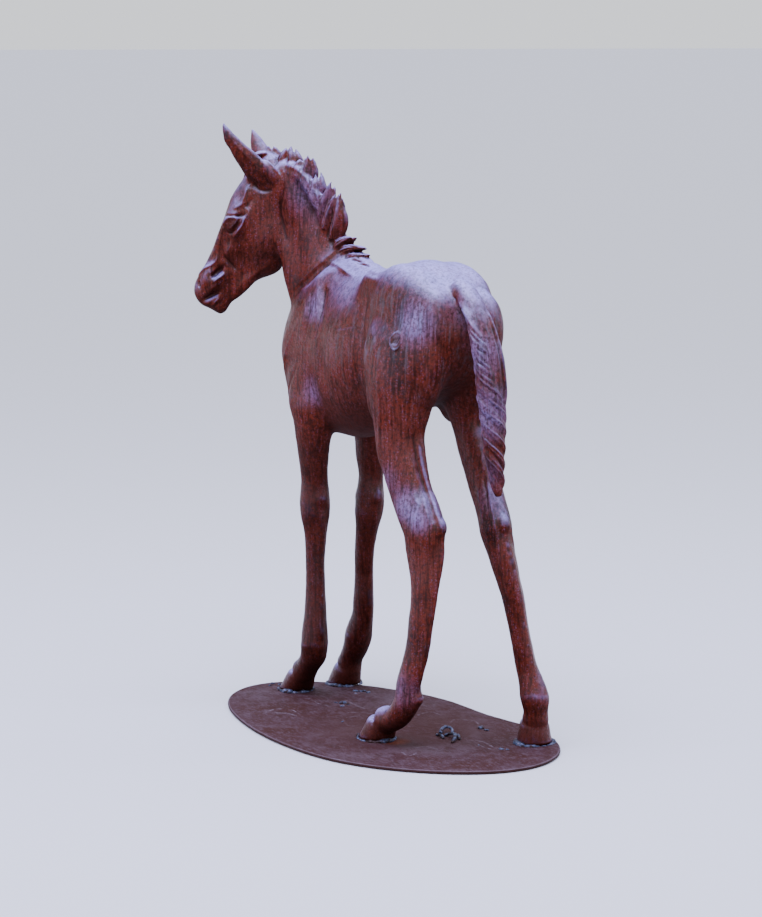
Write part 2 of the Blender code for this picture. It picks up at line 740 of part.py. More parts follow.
class Skin:
    """A mesh's points, with the sums that smoothing and carving need."""

    def __init__(self, mesh):
        self.mesh = mesh
        self.points = np.empty(len(mesh.vertices) * 3)
        mesh.vertices.foreach_get("co", self.points)
        self.points = self.points.reshape(-1, 3)
        edges = np.empty(len(mesh.edges) * 2, np.int32)
        mesh.edges.foreach_get("vertices", edges)
        self.edges = edges.reshape(-1, 2)
        self.valence = np.bincount(edges, minlength=len(self.points))[:, None]

    def pull(self):
        """The way from each point to the middle of its neighbours."""
        a, b = self.edges.T
        total = np.empty_like(self.points)
        for axis in range(3):
            values = self.points[:, axis]
            total[:, axis] = np.bincount(a, values[b], len(values))
            total[:, axis] += np.bincount(b, values[a], len(values))
        return total / self.valence - self.points

    def normals(self):
        self.write()
        out = np.empty(len(self.points) * 3)
        self.mesh.vertex_normals.foreach_get("vector", out)
        return out.reshape(-1, 3)

    def write(self):
        self.mesh.vertices.foreach_set("co", self.points.ravel())
        self.mesh.update()

    def smooth(self, rounds, share=0.5, where=1.0):
        for _ in range(rounds):
            self.points += self.pull() * share * where

    def press(self, strokes):
        """Grooves, or ridges where the depth is above nothing, along paths on the skin.

        Each stroke is (reach, depth, points): it fades across by reach and at both ends.
        """
        tree = KDTree(len(self.points))
        for i, point in enumerate(self.points):
            tree.insert(point, i)
        tree.balance()
        normals = self.normals()
        moved = np.zeros_like(self.points)
        for reach, depth, path in strokes:
            laid = curve_through(path, 8)
            laid = np.array([self.points[tree.find(point)[1]] for point in laid])
            for _ in range(3):
                laid[1:-1] = (laid[:-2] + laid[1:-1] * 2 + laid[2:]) / 4
            run = np.concatenate([[0], np.cumsum(np.linalg.norm(np.diff(laid, axis=0), axis=1))])
            count = max(3, int(run[-1] / (reach * 0.3)))
            along = np.linspace(0, run[-1], count)
            laid = np.stack([np.interp(along, run, laid[:, k]) for k in range(3)], axis=1)
            low, high = laid.min(axis=0) - 2 * reach, laid.max(axis=0) + 2 * reach
            near = np.flatnonzero(((self.points > low) & (self.points < high)).all(axis=1))
            gaps = np.linalg.norm(self.points[near][:, None] - laid[None], axis=2)
            nearest = gaps.argmin(axis=1)
            gap = gaps[np.arange(len(near)), nearest]
            fade = np.sin(math.pi * (nearest + 0.5) / count) ** 0.5
            amount = depth * fade * np.exp(-(gap / reach) ** 2)
            moved[near] += normals[near] * amount[:, None]
        self.points += moved

    def fill_valleys(self, rounds, where=1.0):
        """Points in a hollow rise to the mean of their neighbours; ridges stay."""
        for i in range(rounds):
            if i % 5 == 0:
                normals = self.normals()
            rise = (self.pull() * normals).sum(axis=1, keepdims=True)
            self.points += normals * np.maximum(rise, 0) * 0.8 * where


def body_forms(bm):
    trunk(bm)
    neck(bm)
    head(bm)
    for side in (LEFT, RIGHT):
        shoulder(bm, side)
        rump(bm, side)
    fore_limb(bm, LEFT_FORE)
    fore_limb(bm, RIGHT_FORE)
    hind_limb(bm, LEFT_HIND, LEFT_HIND_HEADING)
    hind_limb(bm, RIGHT_HIND, RIGHT_HIND_HEADING)


def trimming_forms(bm, strands=1):
    for x, y, toe, coronet in HOOVES.values():
        hoof(bm, x, y, toe, coronet)
    for spine, root in zip((LEFT_EAR, RIGHT_EAR), EAR_ROOTS):
        ear(bm, spine, root)
    mane(bm, strands)
    forelock(bm)
    tail(bm)


def body_mesh():
    """The body without its hair, ears and hooves, softened where one muscle meets another."""
    skin = Skin(welded(mesh_of(body_forms, "body"), BODY_VOXEL))
    skin.fill_valleys(16)
    on_trunk = np.clip((skin.points[:, 2] - TRUNK_FOOT) / TRUNK_FADE, 0, 1)
    on_trunk *= np.clip((TRUNK_HEAD - skin.points[:, 2]) / TRUNK_FADE, 0, 1)
    on_trunk = on_trunk[:, None]
    skin.fill_valleys(40, on_trunk)
    skin.smooth(8, where=on_trunk)
    skin.smooth(3)
    skin.write()
    return skin.mesh


def foal_mesh():
    """The whole foal as one skin, in units."""
    mesh = joined(body_mesh(), mesh_of(trimming_forms, "trimmings"))
    skin = Skin(welded(mesh, SKIN_VOXEL))
    skin.fill_valleys(4)
    skin.smooth(2)
    skin.press(strokes())
    skin.points[:, 2] -= skin.points[:, 2].min()
    skin.write()
    return skin.mesh


# Objects

def iron(name, colour, roughness):
    material = bpy.data.materials.new(name)
    material.use_nodes = True
    shader = material.node_tree.nodes["Principled BSDF"]
    shader.inputs["Base Color"].default_value = (*colour, 1)
    shader.inputs["Metallic"].default_value = 0.35
    shader.inputs["Roughness"].default_value = roughness
    return material


def foal():
    mesh = foal_mesh()
    triangles = sum(len(p.vertices) - 2 for p in mesh.polygons)
    mesh = evaluated(mesh, ("DECIMATE", {"ratio": FOAL_TRIANGLES / triangles,
                                         "use_collapse_triangulate": True}))
    lift = PLATE_THICKNESS + HOOF_CLEARANCE
    middle_x, middle_y = plate_middle()
    place = Matrix.Translation((SPINE_X * UNIT - middle_x, SPINE_Y * UNIT - middle_y, lift))
    mesh.transform(place @ Matrix.Scale(UNIT, 4))
    mesh.name = "foal"
    mesh.materials.clear()
    mesh.materials.append(iron("brown_iron_patina", (0.115, 0.042, 0.030), 0.38))
    mesh.shade_smooth()
    obj = bpy.data.objects.new("foal", mesh)
    bpy.context.scene.collection.objects.link(obj)


def plate_edge(sides=72):
    """The plate's hand-cut edge: an oval that swells and flattens a little as it goes."""
    half_length = PLATE_END_MARGIN + UNIT * STANCE_HALF_LENGTH
    half_width = PLATE_SIDE_MARGIN + UNIT * STANCE_HALF_WIDTH
    points = []
    for k in range(sides):
        a = 2 * math.pi * k / sides
        turned = a - math.radians(PLATE_TURN)
        reach = 1 / math.hypot(math.cos(turned) / half_length, math.sin(turned) / half_width)
        reach *= 1 + sum(swell * math.cos(order * a - math.radians(lag))
                         for order, swell, lag in PLATE_SWELLS)
        points.append((reach * math.cos(a), reach * math.sin(a)))
    return np.array(points)


def plate_middle():
    """The middle of the box around the plate's edge, before the plate is centred."""
    points = plate_edge()
    return (points.min(axis=0) + points.max(axis=0)) / 2


def base_plate():
    bm = bmesh.new()
    ring = [bm.verts.new((x, y, 0)) for x, y in plate_edge() - plate_middle()]
    under = bm.faces.new(ring)
    grown = bmesh.ops.extrude_face_region(bm, geom=[under])
    top = [v for v in grown["geom"] if isinstance(v, bmesh.types.BMVert)]
    bmesh.ops.translate(bm, vec=(0, 0, PLATE_THICKNESS), verts=top)
    bmesh.ops.recalc_face_normals(bm, faces=bm.faces)
    rim = [e for e in bm.edges if abs(e.verts[0].co.z - e.verts[1].co.z) < 1e-6]
    bmesh.ops.bevel(bm, geom=rim, offset=PLATE_RIM_ROUND, segments=2, affect="EDGES",
                    profile=0.5)
    mesh = bpy.data.meshes.new("base_plate")
    bm.to_mesh(mesh)
    bm.free()
    mesh.materials.append(iron("weathered_iron_plate", (0.12, 0.055, 0.045), 0.6))
    obj = bpy.data.objects.new("base_plate", mesh)
    bpy.context.scene.collection.objects.link(obj)


def main():
    for obj in list(bpy.data.objects):
        bpy.data.objects.remove(obj, do_unlink=True)
    foal()
    base_plate()


main()
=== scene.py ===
"""A newborn foal cast in iron on a thin oval plate, with its patina and its welded hooves."""

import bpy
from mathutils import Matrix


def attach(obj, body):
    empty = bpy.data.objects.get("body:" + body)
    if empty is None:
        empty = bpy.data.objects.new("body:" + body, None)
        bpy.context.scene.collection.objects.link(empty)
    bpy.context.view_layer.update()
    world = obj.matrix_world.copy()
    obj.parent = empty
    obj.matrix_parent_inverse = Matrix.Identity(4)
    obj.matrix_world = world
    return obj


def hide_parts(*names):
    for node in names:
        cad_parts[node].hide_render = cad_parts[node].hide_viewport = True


bl_info = {
    "name": "Cast Iron Foal",
    "version": (1, 0, 0),
    "blender": (4, 5, 0),
    "location": "View3D > Sidebar > Foal",
    "description": "Models a patinated cast iron foal that stands on an oval plate",
    "category": "Add Mesh",
}

import math
import random

import bmesh
import bpy
import numpy as np
from mathutils import Matrix, Vector, noise
from mathutils.kdtree import KDTree

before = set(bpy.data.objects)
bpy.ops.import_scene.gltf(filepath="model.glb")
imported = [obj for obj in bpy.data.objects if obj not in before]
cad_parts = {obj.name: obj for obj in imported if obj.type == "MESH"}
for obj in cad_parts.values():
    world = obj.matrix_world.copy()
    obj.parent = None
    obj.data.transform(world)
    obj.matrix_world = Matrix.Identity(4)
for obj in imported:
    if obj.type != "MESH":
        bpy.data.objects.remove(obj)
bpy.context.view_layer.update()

FOAL_HEIGHT = 1.262
UNITS_TALL = 1262.0
UNIT = FOAL_HEIGHT / UNITS_TALL

PLATE_THICKNESS = 0.008
PLATE_RIM_ROUND = 0.003
PLATE_END_MARGIN = 0.094
PLATE_SIDE_MARGIN = 0.056
PLATE_TURN = 4.2
PLATE_SWELLS = ((3, 0.035, 136), (4, 0.026, 155), (5, 0.015, 200))
HOOF_CLEARANCE = 0.0003

# In the foal's units: half the stance's length and width, and the spine's place on the plate
STANCE_HALF_LENGTH, STANCE_HALF_WIDTH = 384.0, 200.0
SPINE_X, SPINE_Y = -9.0, 61.0
BODY_VOXEL = 4.5
TRUNK_FOOT, TRUNK_HEAD, TRUNK_FADE = 570.0, 1120.0, 90.0
# The least half thickness of a tube, and how far up its height the trunk is widest
THINNEST = 0.4
TRUNK_WIDEST = 0.46

LEFT, RIGHT = -1, 1
FORWARD = Vector((-1.0, 0.0, 0.0))
UP = Vector((0.0, 0.0, 1.0))


# Curves and closed shells

def curve_through(rows, steps):
    """Rows of numbers made into a smooth run of rows that passes through each of them."""
    rows = np.asarray(rows, float)
    padded = np.vstack([2 * rows[0] - rows[1], rows, 2 * rows[-1] - rows[-2]])
    out = []
    for i in range(1, len(rows)):
        a, b, c, d = padded[i - 1:i + 3]
        for k in range(steps):
            t = k / steps
            out.append(0.5 * (2 * b + (c - a) * t + (2 * a - 5 * b + 4 * c - d) * t * t
                              + (3 * b - a - 3 * c + d) * t ** 3))
    out.append(rows[-1])
    return np.array(out)


def close_rings(bm, rings):
    """A skin over rings of points in order, closed at both ends with a point."""
    made = [[bm.verts.new(p) for p in ring] for ring in rings]
    for lower, upper in zip(made, made[1:]):
        for i in range(len(lower)):
            j = (i + 1) % len(lower)
            bm.faces.new((lower[i], lower[j], upper[j], upper[i]))
    for ring, order in ((made[0], -1), (made[-1], 1)):
        centre = bm.verts.new(sum((v.co for v in ring), Vector()) / len(ring))
        for i in range(len(ring)):
            pair = (ring[i], ring[(i + 1) % len(ring)])
            bm.faces.new(pair[::order] + (centre,))


def heading(degrees):
    """The level direction that many degrees to the foal's left of straight ahead."""
    a = math.radians(degrees)
    return Vector((-math.cos(a), -math.sin(a), 0.0))


def tube(bm, rows, front=FORWARD, sides=20, steps=4):
    """A shell along rows of (x, y, z, half depth, half width), deep along front.

    A sixth number in the rows is each section's own heading, in place of front.
    """
    rows = curve_through(rows, steps)
    rings = []
    for i, row in enumerate(rows):
        before, after = rows[max(i - 1, 0)], rows[min(i + 1, len(rows) - 1)]
        along = Vector(after[:3] - before[:3]).normalized()
        ahead = heading(row[5]) if len(row) > 5 else Vector(front).normalized()
        deep = (ahead - along * ahead.dot(along)).normalized()
        wide = along.cross(deep)
        centre, depth, width = Vector(row[:3]), max(row[3], THINNEST), max(row[4], THINNEST)
        rings.append([
            centre + deep * (depth * math.cos(a)) + wide * (width * math.sin(a))
            for a in (2 * math.pi * k / sides for k in range(sides))
        ])
    close_rings(bm, rings)


def spindle(bm, start, end, depth, width, front=FORWARD, bulge=0.0):
    """A muscle: a shell that swells between two points, fullest past the middle by bulge."""
    start, end = Vector(start), Vector(end)
    rows = []
    for k in range(9):
        t = k / 8
        swell = math.sin(math.pi * t ** (1 + bulge)) ** 0.7 if 0 < k < 8 else 0.08
        point = start.lerp(end, t)
        rows.append((*point, depth * swell, width * swell))
    tube(bm, rows, front, sides=16, steps=2)


def ball(bm, place, around=26, bands=16):
    """A ball of unit radius, put in its place by a matrix."""
    rings = []
    for i in range(1, bands):
        fall = math.pi * i / bands
        ring = []
        for k in range(around):
            a = 2 * math.pi * k / around
            ring.append(place @ Vector((math.sin(fall) * math.cos(a),
                                        math.sin(fall) * math.sin(a), -math.cos(fall))))
        rings.append(ring)
    close_rings(bm, rings)


def lump(bm, centre, radii, turn=(0, 0, 0)):
    """A rounded mass: a ball with its own radii along x, y and z, turned by degrees."""
    turned = Matrix.Rotation(math.radians(turn[2]), 4, "Z")
    turned @= Matrix.Rotation(math.radians(turn[1]), 4, "Y")
    turned @= Matrix.Rotation(math.radians(turn[0]), 4, "X")
    ball(bm, Matrix.Translation(centre) @ turned @ Matrix.Diagonal((*radii, 1)))


# Body

# x, top, underside, half width, fullness of the upper half and of the lower half
TRUNK = (
    (-432, 800, 735, 20, 1.0, 1.0),
    (-422, 848, 690, 54, 1.0, 1.0),
    (-395, 890, 642, 82, 1.0, 1.0),
    (-345, 934, 604, 97, 1.15, 1.0),
    (-285, 966, 588, 103, 1.3, 1.0),
    (-220, 978, 584, 107, 1.35, 0.95),
    (-165, 966, 586, 113, 1.2, 0.95),
    (-105, 954, 598, 118, 1.05, 0.95),
    (-50, 958, 616, 116, 1.0, 1.0),
    (0, 968, 640, 108, 1.0, 1.0),
    (50, 979, 668, 104, 1.0, 1.0),
    (98, 984, 690, 104, 0.95, 1.0),
    (150, 972, 712, 96, 0.95, 1.0),
    (200, 944, 740, 80, 1.0, 1.0),
    (236, 906, 790, 54, 1.0, 1.0),
    (254, 868, 830, 20, 1.0, 1.0),
)


def power(value, exponent):
    """A power that keeps the sign of what it is taken of."""
    return math.copysign(abs(value) ** exponent, value)


def trunk(bm, sides=40):
    """Chest, barrel and rump: upright sections, each with its own back and belly."""
    rings = []
    for x, top, under, half, upper, lower in curve_through(TRUNK, 4):
        middle = under + TRUNK_WIDEST * (top - under)
        ring = []
        for k in range(sides):
            a = 2 * math.pi * k / sides
            fullness = upper if math.sin(a) > 0 else lower
            reach = top - middle if math.sin(a) > 0 else middle - under
            ring.append(Vector((x, half * power(math.cos(a), fullness),
                                middle + reach * power(math.sin(a), fullness))))
        rings.append(ring[::-1])
    close_rings(bm, rings)


def shoulder(bm, side):
    """Shoulder blade, arm and the muscles over the elbow."""
    spindle(bm, (-222, side * 46, 946), (-384, side * 78, 742), 60, 26, FORWARD, 0.1)
    spindle(bm, (-262, side * 62, 930), (-300, side * 84, 668), 44, 26)
    lump(bm, (-346, side * 73, 752), (42, 29, 62), (0, -20, 0))
    lump(bm, (-285, side * 79, 702), (66, 29, 84), (0, 18, 0))
    spindle(bm, (-392, side * 58, 770), (-290, side * 86, 640), 34, 26)
    spindle(bm, (-422, side * 32, 830), (-370, side * 50, 664), 36, 34)


def rump(bm, side):
    """Loin, hip bone, rump, thigh and buttock; the right buttock is drawn further back."""
    lump(bm, (104, side * 54, 894), (120, 58, 84), (0, 8, 0))
    lump(bm, (-6, side * 74, 890), (64, 16, 54), (0, 20, 0))
    spindle(bm, (-80, side * 56, 944), (70, side * 60, 930), 24, 32, UP)
    lump(bm, (158, side * 68, 802), (74, 46, 122), (0, -10, 0))
    lump(bm, (72, side * 84, 752), (70, 40, 120), (0, 14, 0))
    spindle(bm, (220, side * 46, 884), (172, side * 78, 668), 38, 40)
    if side == RIGHT:
        lump(bm, (206, 50, 848), (56, 47, 80))
    else:
        lump(bm, (192, -50, 860), (52, 44, 80))


# Limbs: x, y, z, half depth, half width, from the body down

LEFT_FORE = (
    (-300, -66, 720, 62, 40),
    (-284, -74, 660, 62, 41),
    (-276, -72, 618, 56, 38),
    (-278, -70, 580, 51, 34),
    (-281, -67, 530, 42, 29.5),
    (-283, -64, 488, 35, 27.5),
    (-285, -62, 456, 35, 31),
    (-285, -62, 430, 36, 33),
    (-284, -62, 404, 33, 31),
    (-284, -61, 372, 27.5, 25),
    (-285, -61, 330, 24.5, 22),
    (-286, -61, 285, 24, 20.5),
    (-287, -60, 230, 25, 21.5),
    (-288, -60, 180, 28, 25),
    (-290, -61, 146, 31, 28),
    (-291, -61, 118, 33, 29),
    (-302, -58, 92, 31, 28),
    (-326, -57, 66, 26, 26),
    (-350, -57, 44, 30, 30),
)
RIGHT_FORE = (
    (-300, 66, 720, 62, 40),
    (-274, 72, 660, 62, 41),
    (-262, 70, 618, 56, 38),
    (-262, 68, 580, 51, 34),
    (-262, 65, 530, 42, 29.5),
    (-261, 65, 488, 32, 25.5),
    (-262, 64, 456, 32, 29),
    (-263, 64, 430, 33, 31),
    (-266, 62, 404, 33, 31),
    (-273, 62, 372, 28, 25),
    (-284, 63, 330, 26, 21),
    (-290, 64, 285, 25, 20),
    (-294, 66, 240, 25, 20),
    (-298, 67, 200, 28, 21.5),
    (-304, 69, 170, 28, 22),
    (-315, 69, 140, 30, 27),
    (-324, 69, 118, 33, 30),
    (-334, 68, 92, 30, 28),
    (-350, 66, 66, 26, 26),
    (-362, 66, 44, 30, 30),
)
LEFT_HIND = (
    (108, -48, 902, 36, 26),
    (112, -62, 872, 74, 40),
    (118, -74, 836, 92, 49),
    (124, -82, 790, 96, 54),
    (129, -89, 735, 82, 52),
    (130, -92, 677, 69, 46),
    (130, -94, 640, 58, 42),
    (138, -95, 600, 55, 38),
    (149, -95, 575, 52, 35),
    (165, -94, 540, 50, 32),
    (180, -92, 510, 49, 30),
    (203, -91, 480, 50, 30),
    (217, -90, 455, 50, 31),
    (220, -89, 436, 48, 31),
    (221, -89, 404, 43, 28),
    (227, -91, 370, 37, 25),
    (231, -95, 340, 32, 22),
    (231, -99, 300, 28, 21),
    (228, -104, 250, 26, 21),
    (223, -109, 200, 25, 21),
    (217, -117, 160, 25, 22),
    (211, -120, 130, 27, 24),
    (207, -119, 100, 28, 27),
    (199, -121, 84, 27, 27),
    (186, -123, 68, 26, 27),
    (163, -125, 52, 26, 27),
    (128, -129, 42, 30, 30),
)
RIGHT_HIND = (
    (108, 48, 902, 36, 26),
    (112, 61, 872, 74, 41),
    (118, 72, 836, 93, 50),
    (124, 79, 790, 98, 56),
    (125, 81, 735, 88, 55),
    (125, 80, 685, 72, 51),
    (135, 80, 640, 50, 42),
    (154, 78, 600, 53, 38),
    (175, 76, 560, 51, 35),
    (195, 73, 520, 48, 31),
    (216, 71, 490, 46, 30),
    (234, 70, 455, 47, 31),
    (239, 71, 436, 46, 31),
    (250, 73, 404, 41, 27),
    (260, 78, 370, 40, 25),
    (268, 82, 340, 36, 22.5),
    (276, 90, 300, 32, 21.5),
    (284, 96, 250, 26, 20),
    (290, 104, 200, 26, 20.5),
    (294, 111, 160, 27, 21.5),
    (304, 116, 130, 30, 25),
    (312, 120, 100, 33, 28),
    (311, 124, 64, 30, 28),
    (304, 126, 46, 30, 29),
)
LEFT_HIND_HEADING, RIGHT_HIND_HEADING = 20.0, -10.0
KNEE_HEIGHT, FETLOCK_HEIGHT = 430.0, 118.0
HOCK_HEIGHT, HIND_FETLOCK_HEIGHT = 436.0, 104.0
SINEW_STAND = 6.0

# x, y of the hoof's middle on the ground, and how far its toe is turned, in degrees
HOOVES = {
    "left_fore": (-384, -56, 3.0, (-350, -57, 44)),
    "right_fore": (-384, 66, -3.0, (-362, 66, 44)),
    "left_hind": (102, -131, 12.0, (126, -129, 42)),
    "right_hind": (298, 130, -12.0, (304, 126, 46)),
}
HOOF_HALF_LENGTH, HOOF_HALF_WIDTH = 41.0, 35.0
# A hoof's heel is shorter than its toe; how far up it each ring is, and how wide
HEEL_SHARE = 0.86
HOOF_RINGS = ((0.0, 1.0), (0.12, 1.02), (0.5, 0.94), (0.86, 0.86), (0.95, 0.82), (1.0, 0.7))


def hoof(bm, x, y, toe, coronet):
    """A small hoof: an oval foot that leans back to the coronet, lower at the heel."""
    ahead = heading(toe)
    across = ahead.cross(UP)
    top = Vector(coronet)
    sole = Vector((x, y, 0.0))
    rings = []
    for t, grow in HOOF_RINGS:
        ring = []
        for k in range(28):
            a = 2 * math.pi * k / 28
            long, wide = math.cos(a), math.sin(a)
            reach = HOOF_HALF_LENGTH * (long if long > 0 else long * HEEL_SHARE)
            lift = t * (top.z + 6 * long)
            centre = sole.lerp(top, t)
            ring.append(Vector((centre.x, centre.y, lift))
                        + ahead * (reach * grow) + across * (HOOF_HALF_WIDTH * wide * grow))
        rings.append(ring)
    close_rings(bm, rings)


def at_height(rows, height):
    """A limb's middle and its half depth at a height."""
    rows = curve_through(rows, 4)
    x, y, depth = (np.interp(-height, -rows[:, 2], rows[:, k]) for k in (0, 1, 3))
    return Vector((x, y, height)), depth


def sinew(bm, rows, back, high, low, thick):
    """The cord that stands out behind a limb from one height down to another."""
    run = []
    count = 9
    for k in range(count + 1):
        middle, depth = at_height(rows, high + (low - high) * k / count)
        round_off = 0.6 if k in (0, count) else 1.0
        run.append((*(middle + back * (depth + SINEW_STAND - thick)),
                    thick * round_off, thick * round_off))
    tube(bm, run, back, sides=14)


def fore_limb(bm, rows):
    """Forearm, knee, cannon bone, sinews and fetlock."""
    tube(bm, rows, FORWARD, sides=24)
    knee, _ = at_height(rows, KNEE_HEIGHT)
    fetlock, _ = at_height(rows, FETLOCK_HEIGHT)
    lump(bm, knee + Vector((-14, 0, 6)), (24, 27, 34))
    lump(bm, knee + Vector((26, 0, 14)), (16, 15, 24))
    sinew(bm, rows, -FORWARD, KNEE_HEIGHT - 10, FETLOCK_HEIGHT + 14, 9)
    lump(bm, fetlock + Vector((20, 0, 2)), (15, 19, 17))
    for flank in (LEFT, RIGHT):
        lump(bm, fetlock + Vector((2, flank * 15, 2)), (18, 17, 20))


def hind_limb(bm, rows, degrees):
    """Gaskin, hock with its point, cannon bone, sinews and fetlock."""
    ahead = heading(degrees)
    tube(bm, rows, ahead, sides=24)
    hock, depth = at_height(rows, HOCK_HEIGHT)
    fetlock, _ = at_height(rows, HIND_FETLOCK_HEIGHT)
    back = -ahead
    point = hock + back * (depth - 6) + UP * 22
    lump(bm, point, (14, 14, 20), (0, -14, -degrees))
    sinew(bm, rows, back, 640, HOCK_HEIGHT + 8, 14)
    sinew(bm, rows, back, HOCK_HEIGHT + 12, HIND_FETLOCK_HEIGHT + 16, 11)
    lump(bm, hock + ahead * 14 + UP * 2, (28, 28, 36), (0, 0, -degrees))
    lump(bm, fetlock + back * 17, (16, 20, 18), (0, 0, -degrees))


# Neck and head

# x, y, z, half depth, half width, and the section's heading in degrees
NECK = (
    (-298, 0, 800, 116, 70, 0),
    (-310, -2, 860, 105, 66, 4),
    (-322, -6, 920, 90, 58, 9),
    (-344, -15, 980, 78, 49, 16),
    (-366, -27, 1036, 68, 43, 25),
    (-384, -43, 1086, 60, 41, 37),
    (-405, -59, 1122, 52, 39, 47),
    (-425, -70, 1146, 42, 36, 54),
)

# The crest, from the poll to the withers, where the mane is rooted
CREST = (
    (-452, -76, 1168),
    (-420, -72, 1171),
    (-389, -66, 1169),
    (-350, -57, 1159),
    (-323, -49, 1137),
    (-304, -42, 1112),
    (-289, -34, 1086),
    (-281, -24, 1053),
    (-277, -15, 1021),
    (-262, -8, 998),
    (-236, -3, 984),
    (-204, 0, 974),
    (-150, 0, 962),
)
CREST_ROUND = 15.0

POLL = Vector((-445, -78, 1160))
HEAD_TURN, HEAD_DROP = 60.0, 62.4


def head_axes():
    """The head's own directions: down the face, out of the forehead, and to its left."""
    turn, drop = math.radians(HEAD_TURN), math.radians(HEAD_DROP)
    level = Vector((-math.cos(turn), -math.sin(turn), 0))
    down_face = level * math.cos(drop) - UP * math.sin(drop)
    out_face = level * math.sin(drop) + UP * math.cos(drop)
    return down_face, out_face, out_face.cross(down_face)


DOWN_FACE, OUT_FACE, HEAD_LEFT = head_axes()


def on_head(u, v, w=0.0):
    """A point u below the poll along the face, v out from it and w to the head's left."""
    return POLL + DOWN_FACE * u + OUT_FACE * v + HEAD_LEFT * w


# distance below the poll, brow line, jaw line, half width above and at the jaw
SKULL = (
    (-22, 14, -22, 20, 18),
    (-10, 28, -34, 36, 28),
    (20, 35, -48, 45, 36),
    (60, 42, -66, 52, 42),
    (100, 46, -88, 58, 44),
    (135, 43, -106, 61, 44),
    (165, 38, -118, 56, 42),
    (190, 35, -124, 46, 38),
    (210, 33, -116, 40, 33),
    (232, 31, -94, 35, 29),
    (252, 31, -78, 33, 28),
    (275, 31, -65, 33, 27),
    (298, 32, -54, 35, 28),
    (316, 30, -47, 34, 27),
    (332, 20, -41, 27, 23),
    (343, 1, -33, 14, 13),
)
# Cheek, brow, eye socket, nostril, lip and chin: place on the head, radii and tilt
FACE_LUMPS = (
    (142, -52, 30, (58, 52, 24), 0),
    (148, 22, 50, (26, 13, 14), 12),
    (160, 8, 49, (19, 15, 13), 12),
    (283, 4, 24, (30, 22, 16), -8),
    (322, -12, 15, (22, 26, 16), -20),
    (326, -44, 10, (20, 16, 15), 0),
)
# Cheekbone, jaw and the edge of the face: both ends, half depth and half width
FACE_RIDGES = (
    ((178, -12, 44), (232, -8, 32), 8, 8),
    ((210, -86, 26), (322, -50, 17), 12, 10),
    ((100, 34, 40), (240, 24, 20), 9, 12),
)


def head(bm, sides=36):
    """Skull, cheeks, brows, muzzle, lips and chin."""
    rings = []
    for u, brow, jaw, wide, low in curve_through(SKULL, 4):
        ring = []
        for k in range(sides):
            a = 2 * math.pi * k / sides
            rise = 0.5 + 0.5 * math.sin(a)
            half = low + (wide - low) * rise
            v = jaw + (brow - jaw) * rise
            ring.append(on_head(u, v, half * power(math.cos(a), 0.85)))
        rings.append(ring)
    close_rings(bm, rings)
    for side in (LEFT, RIGHT):
        for u, v, w, radii, tilt in FACE_LUMPS:
            face_lump(bm, on_head(u, v, -side * w), radii, tilt)
        for (u, v, w), (end_u, end_v, end_w), depth, width in FACE_RIDGES:
            spindle(bm, on_head(u, v, -side * w), on_head(end_u, end_v, -side * end_w),
                    depth, width, OUT_FACE)


def face_lump(bm, centre, radii, tilt):
    """A rounded mass whose radii lie down the face, out of it and across it."""
    turned = Matrix((DOWN_FACE, OUT_FACE, HEAD_LEFT)).transposed().to_4x4()
    turned @= Matrix.Rotation(math.radians(tilt), 4, "Z")
    ball(bm, Matrix.Translation(centre) @ turned @ Matrix.Diagonal((*radii, 1)))


def neck(bm):
    """Neck, crest and windpipe, turned to the left as it rises."""
    tube(bm, NECK, sides=28)
    rows = []
    for i, (x, y, z) in enumerate(CREST[1:-2]):
        down = Vector((-0.55, -0.2, -0.8)) if 1 < i < 9 else Vector((0, 0, -1))
        rows.append((*(Vector((x, y, z)) + down * CREST_ROUND), CREST_ROUND, CREST_ROUND))
    tube(bm, rows, heading(90), sides=14)
    for side, start in ((LEFT, (-346, -58, 810)), (RIGHT, (-346, 58, 810))):
        spindle(bm, start, on_head(60, -60, -side * 26), 28, 18, heading(30))


# Ears, mane, forelock and tail

def lock(bm, path, thick, wide, front, blunt=False):
    """A lock of hair along a path, fullest a third of the way, with a pointed or blunt tip."""
    path = curve_through(path, 2)
    # The tip's least share, how late the lock tapers, its foot's share and how much it swells
    least, late, root, gain = (0.12, 3, 0.74, 0.26) if blunt else (0.06, 1, 0.55, 0.45)
    rows = []
    for i, point in enumerate(path):
        t = i / (len(path) - 1)
        swell = (1 - t ** late) ** 0.5 * (root + gain * math.sin(math.pi * min(1, t * 1.5)))
        rows.append((*point, thick * max(least, swell), wide * max(least, swell)))
    tube(bm, rows, front, sides=10, steps=2)


# Each ear's spine from root to tip, on the head, with its half thickness and half width
LEFT_EAR = (
    (40, -8, 34, 12, 22),
    (29, 18, 38, 16, 28),
    (17, 47, 44, 14, 26),
    (5, 77, 50, 12, 21),
    (-10, 105, 52, 8, 14),
    (-24, 124, 51, 5, 7),
    (-34, 134, 49, 1.5, 2),
)
RIGHT_EAR = (
    (30, -14, -34, 12, 22),
    (12, 10, -40, 15, 26),
    (-8, 34, -48, 13, 22),
    (-26, 54, -56, 8, 14),
    (-39, 68, -61, 4, 6),
    (-45, 75, -63, 1.5, 2),
)

# The rounded root behind each ear: its middle on the head
EAR_ROOTS = ((16, -8, 48), (8, -16, -46))
EAR_ROOT_RADII, EAR_ROOT_TILT = (15, 34, 13), 29.0


def ear(bm, spine, root):
    """A long leaf of an ear that tapers to a point, with a rounded root behind it."""
    face_lump(bm, on_head(*root), EAR_ROOT_RADII, EAR_ROOT_TILT)
    rows = [(*on_head(u, v, w), thick, wide) for u, v, w, thick, wide in spine]
    tube(bm, rows, HEAD_LEFT, sides=20)


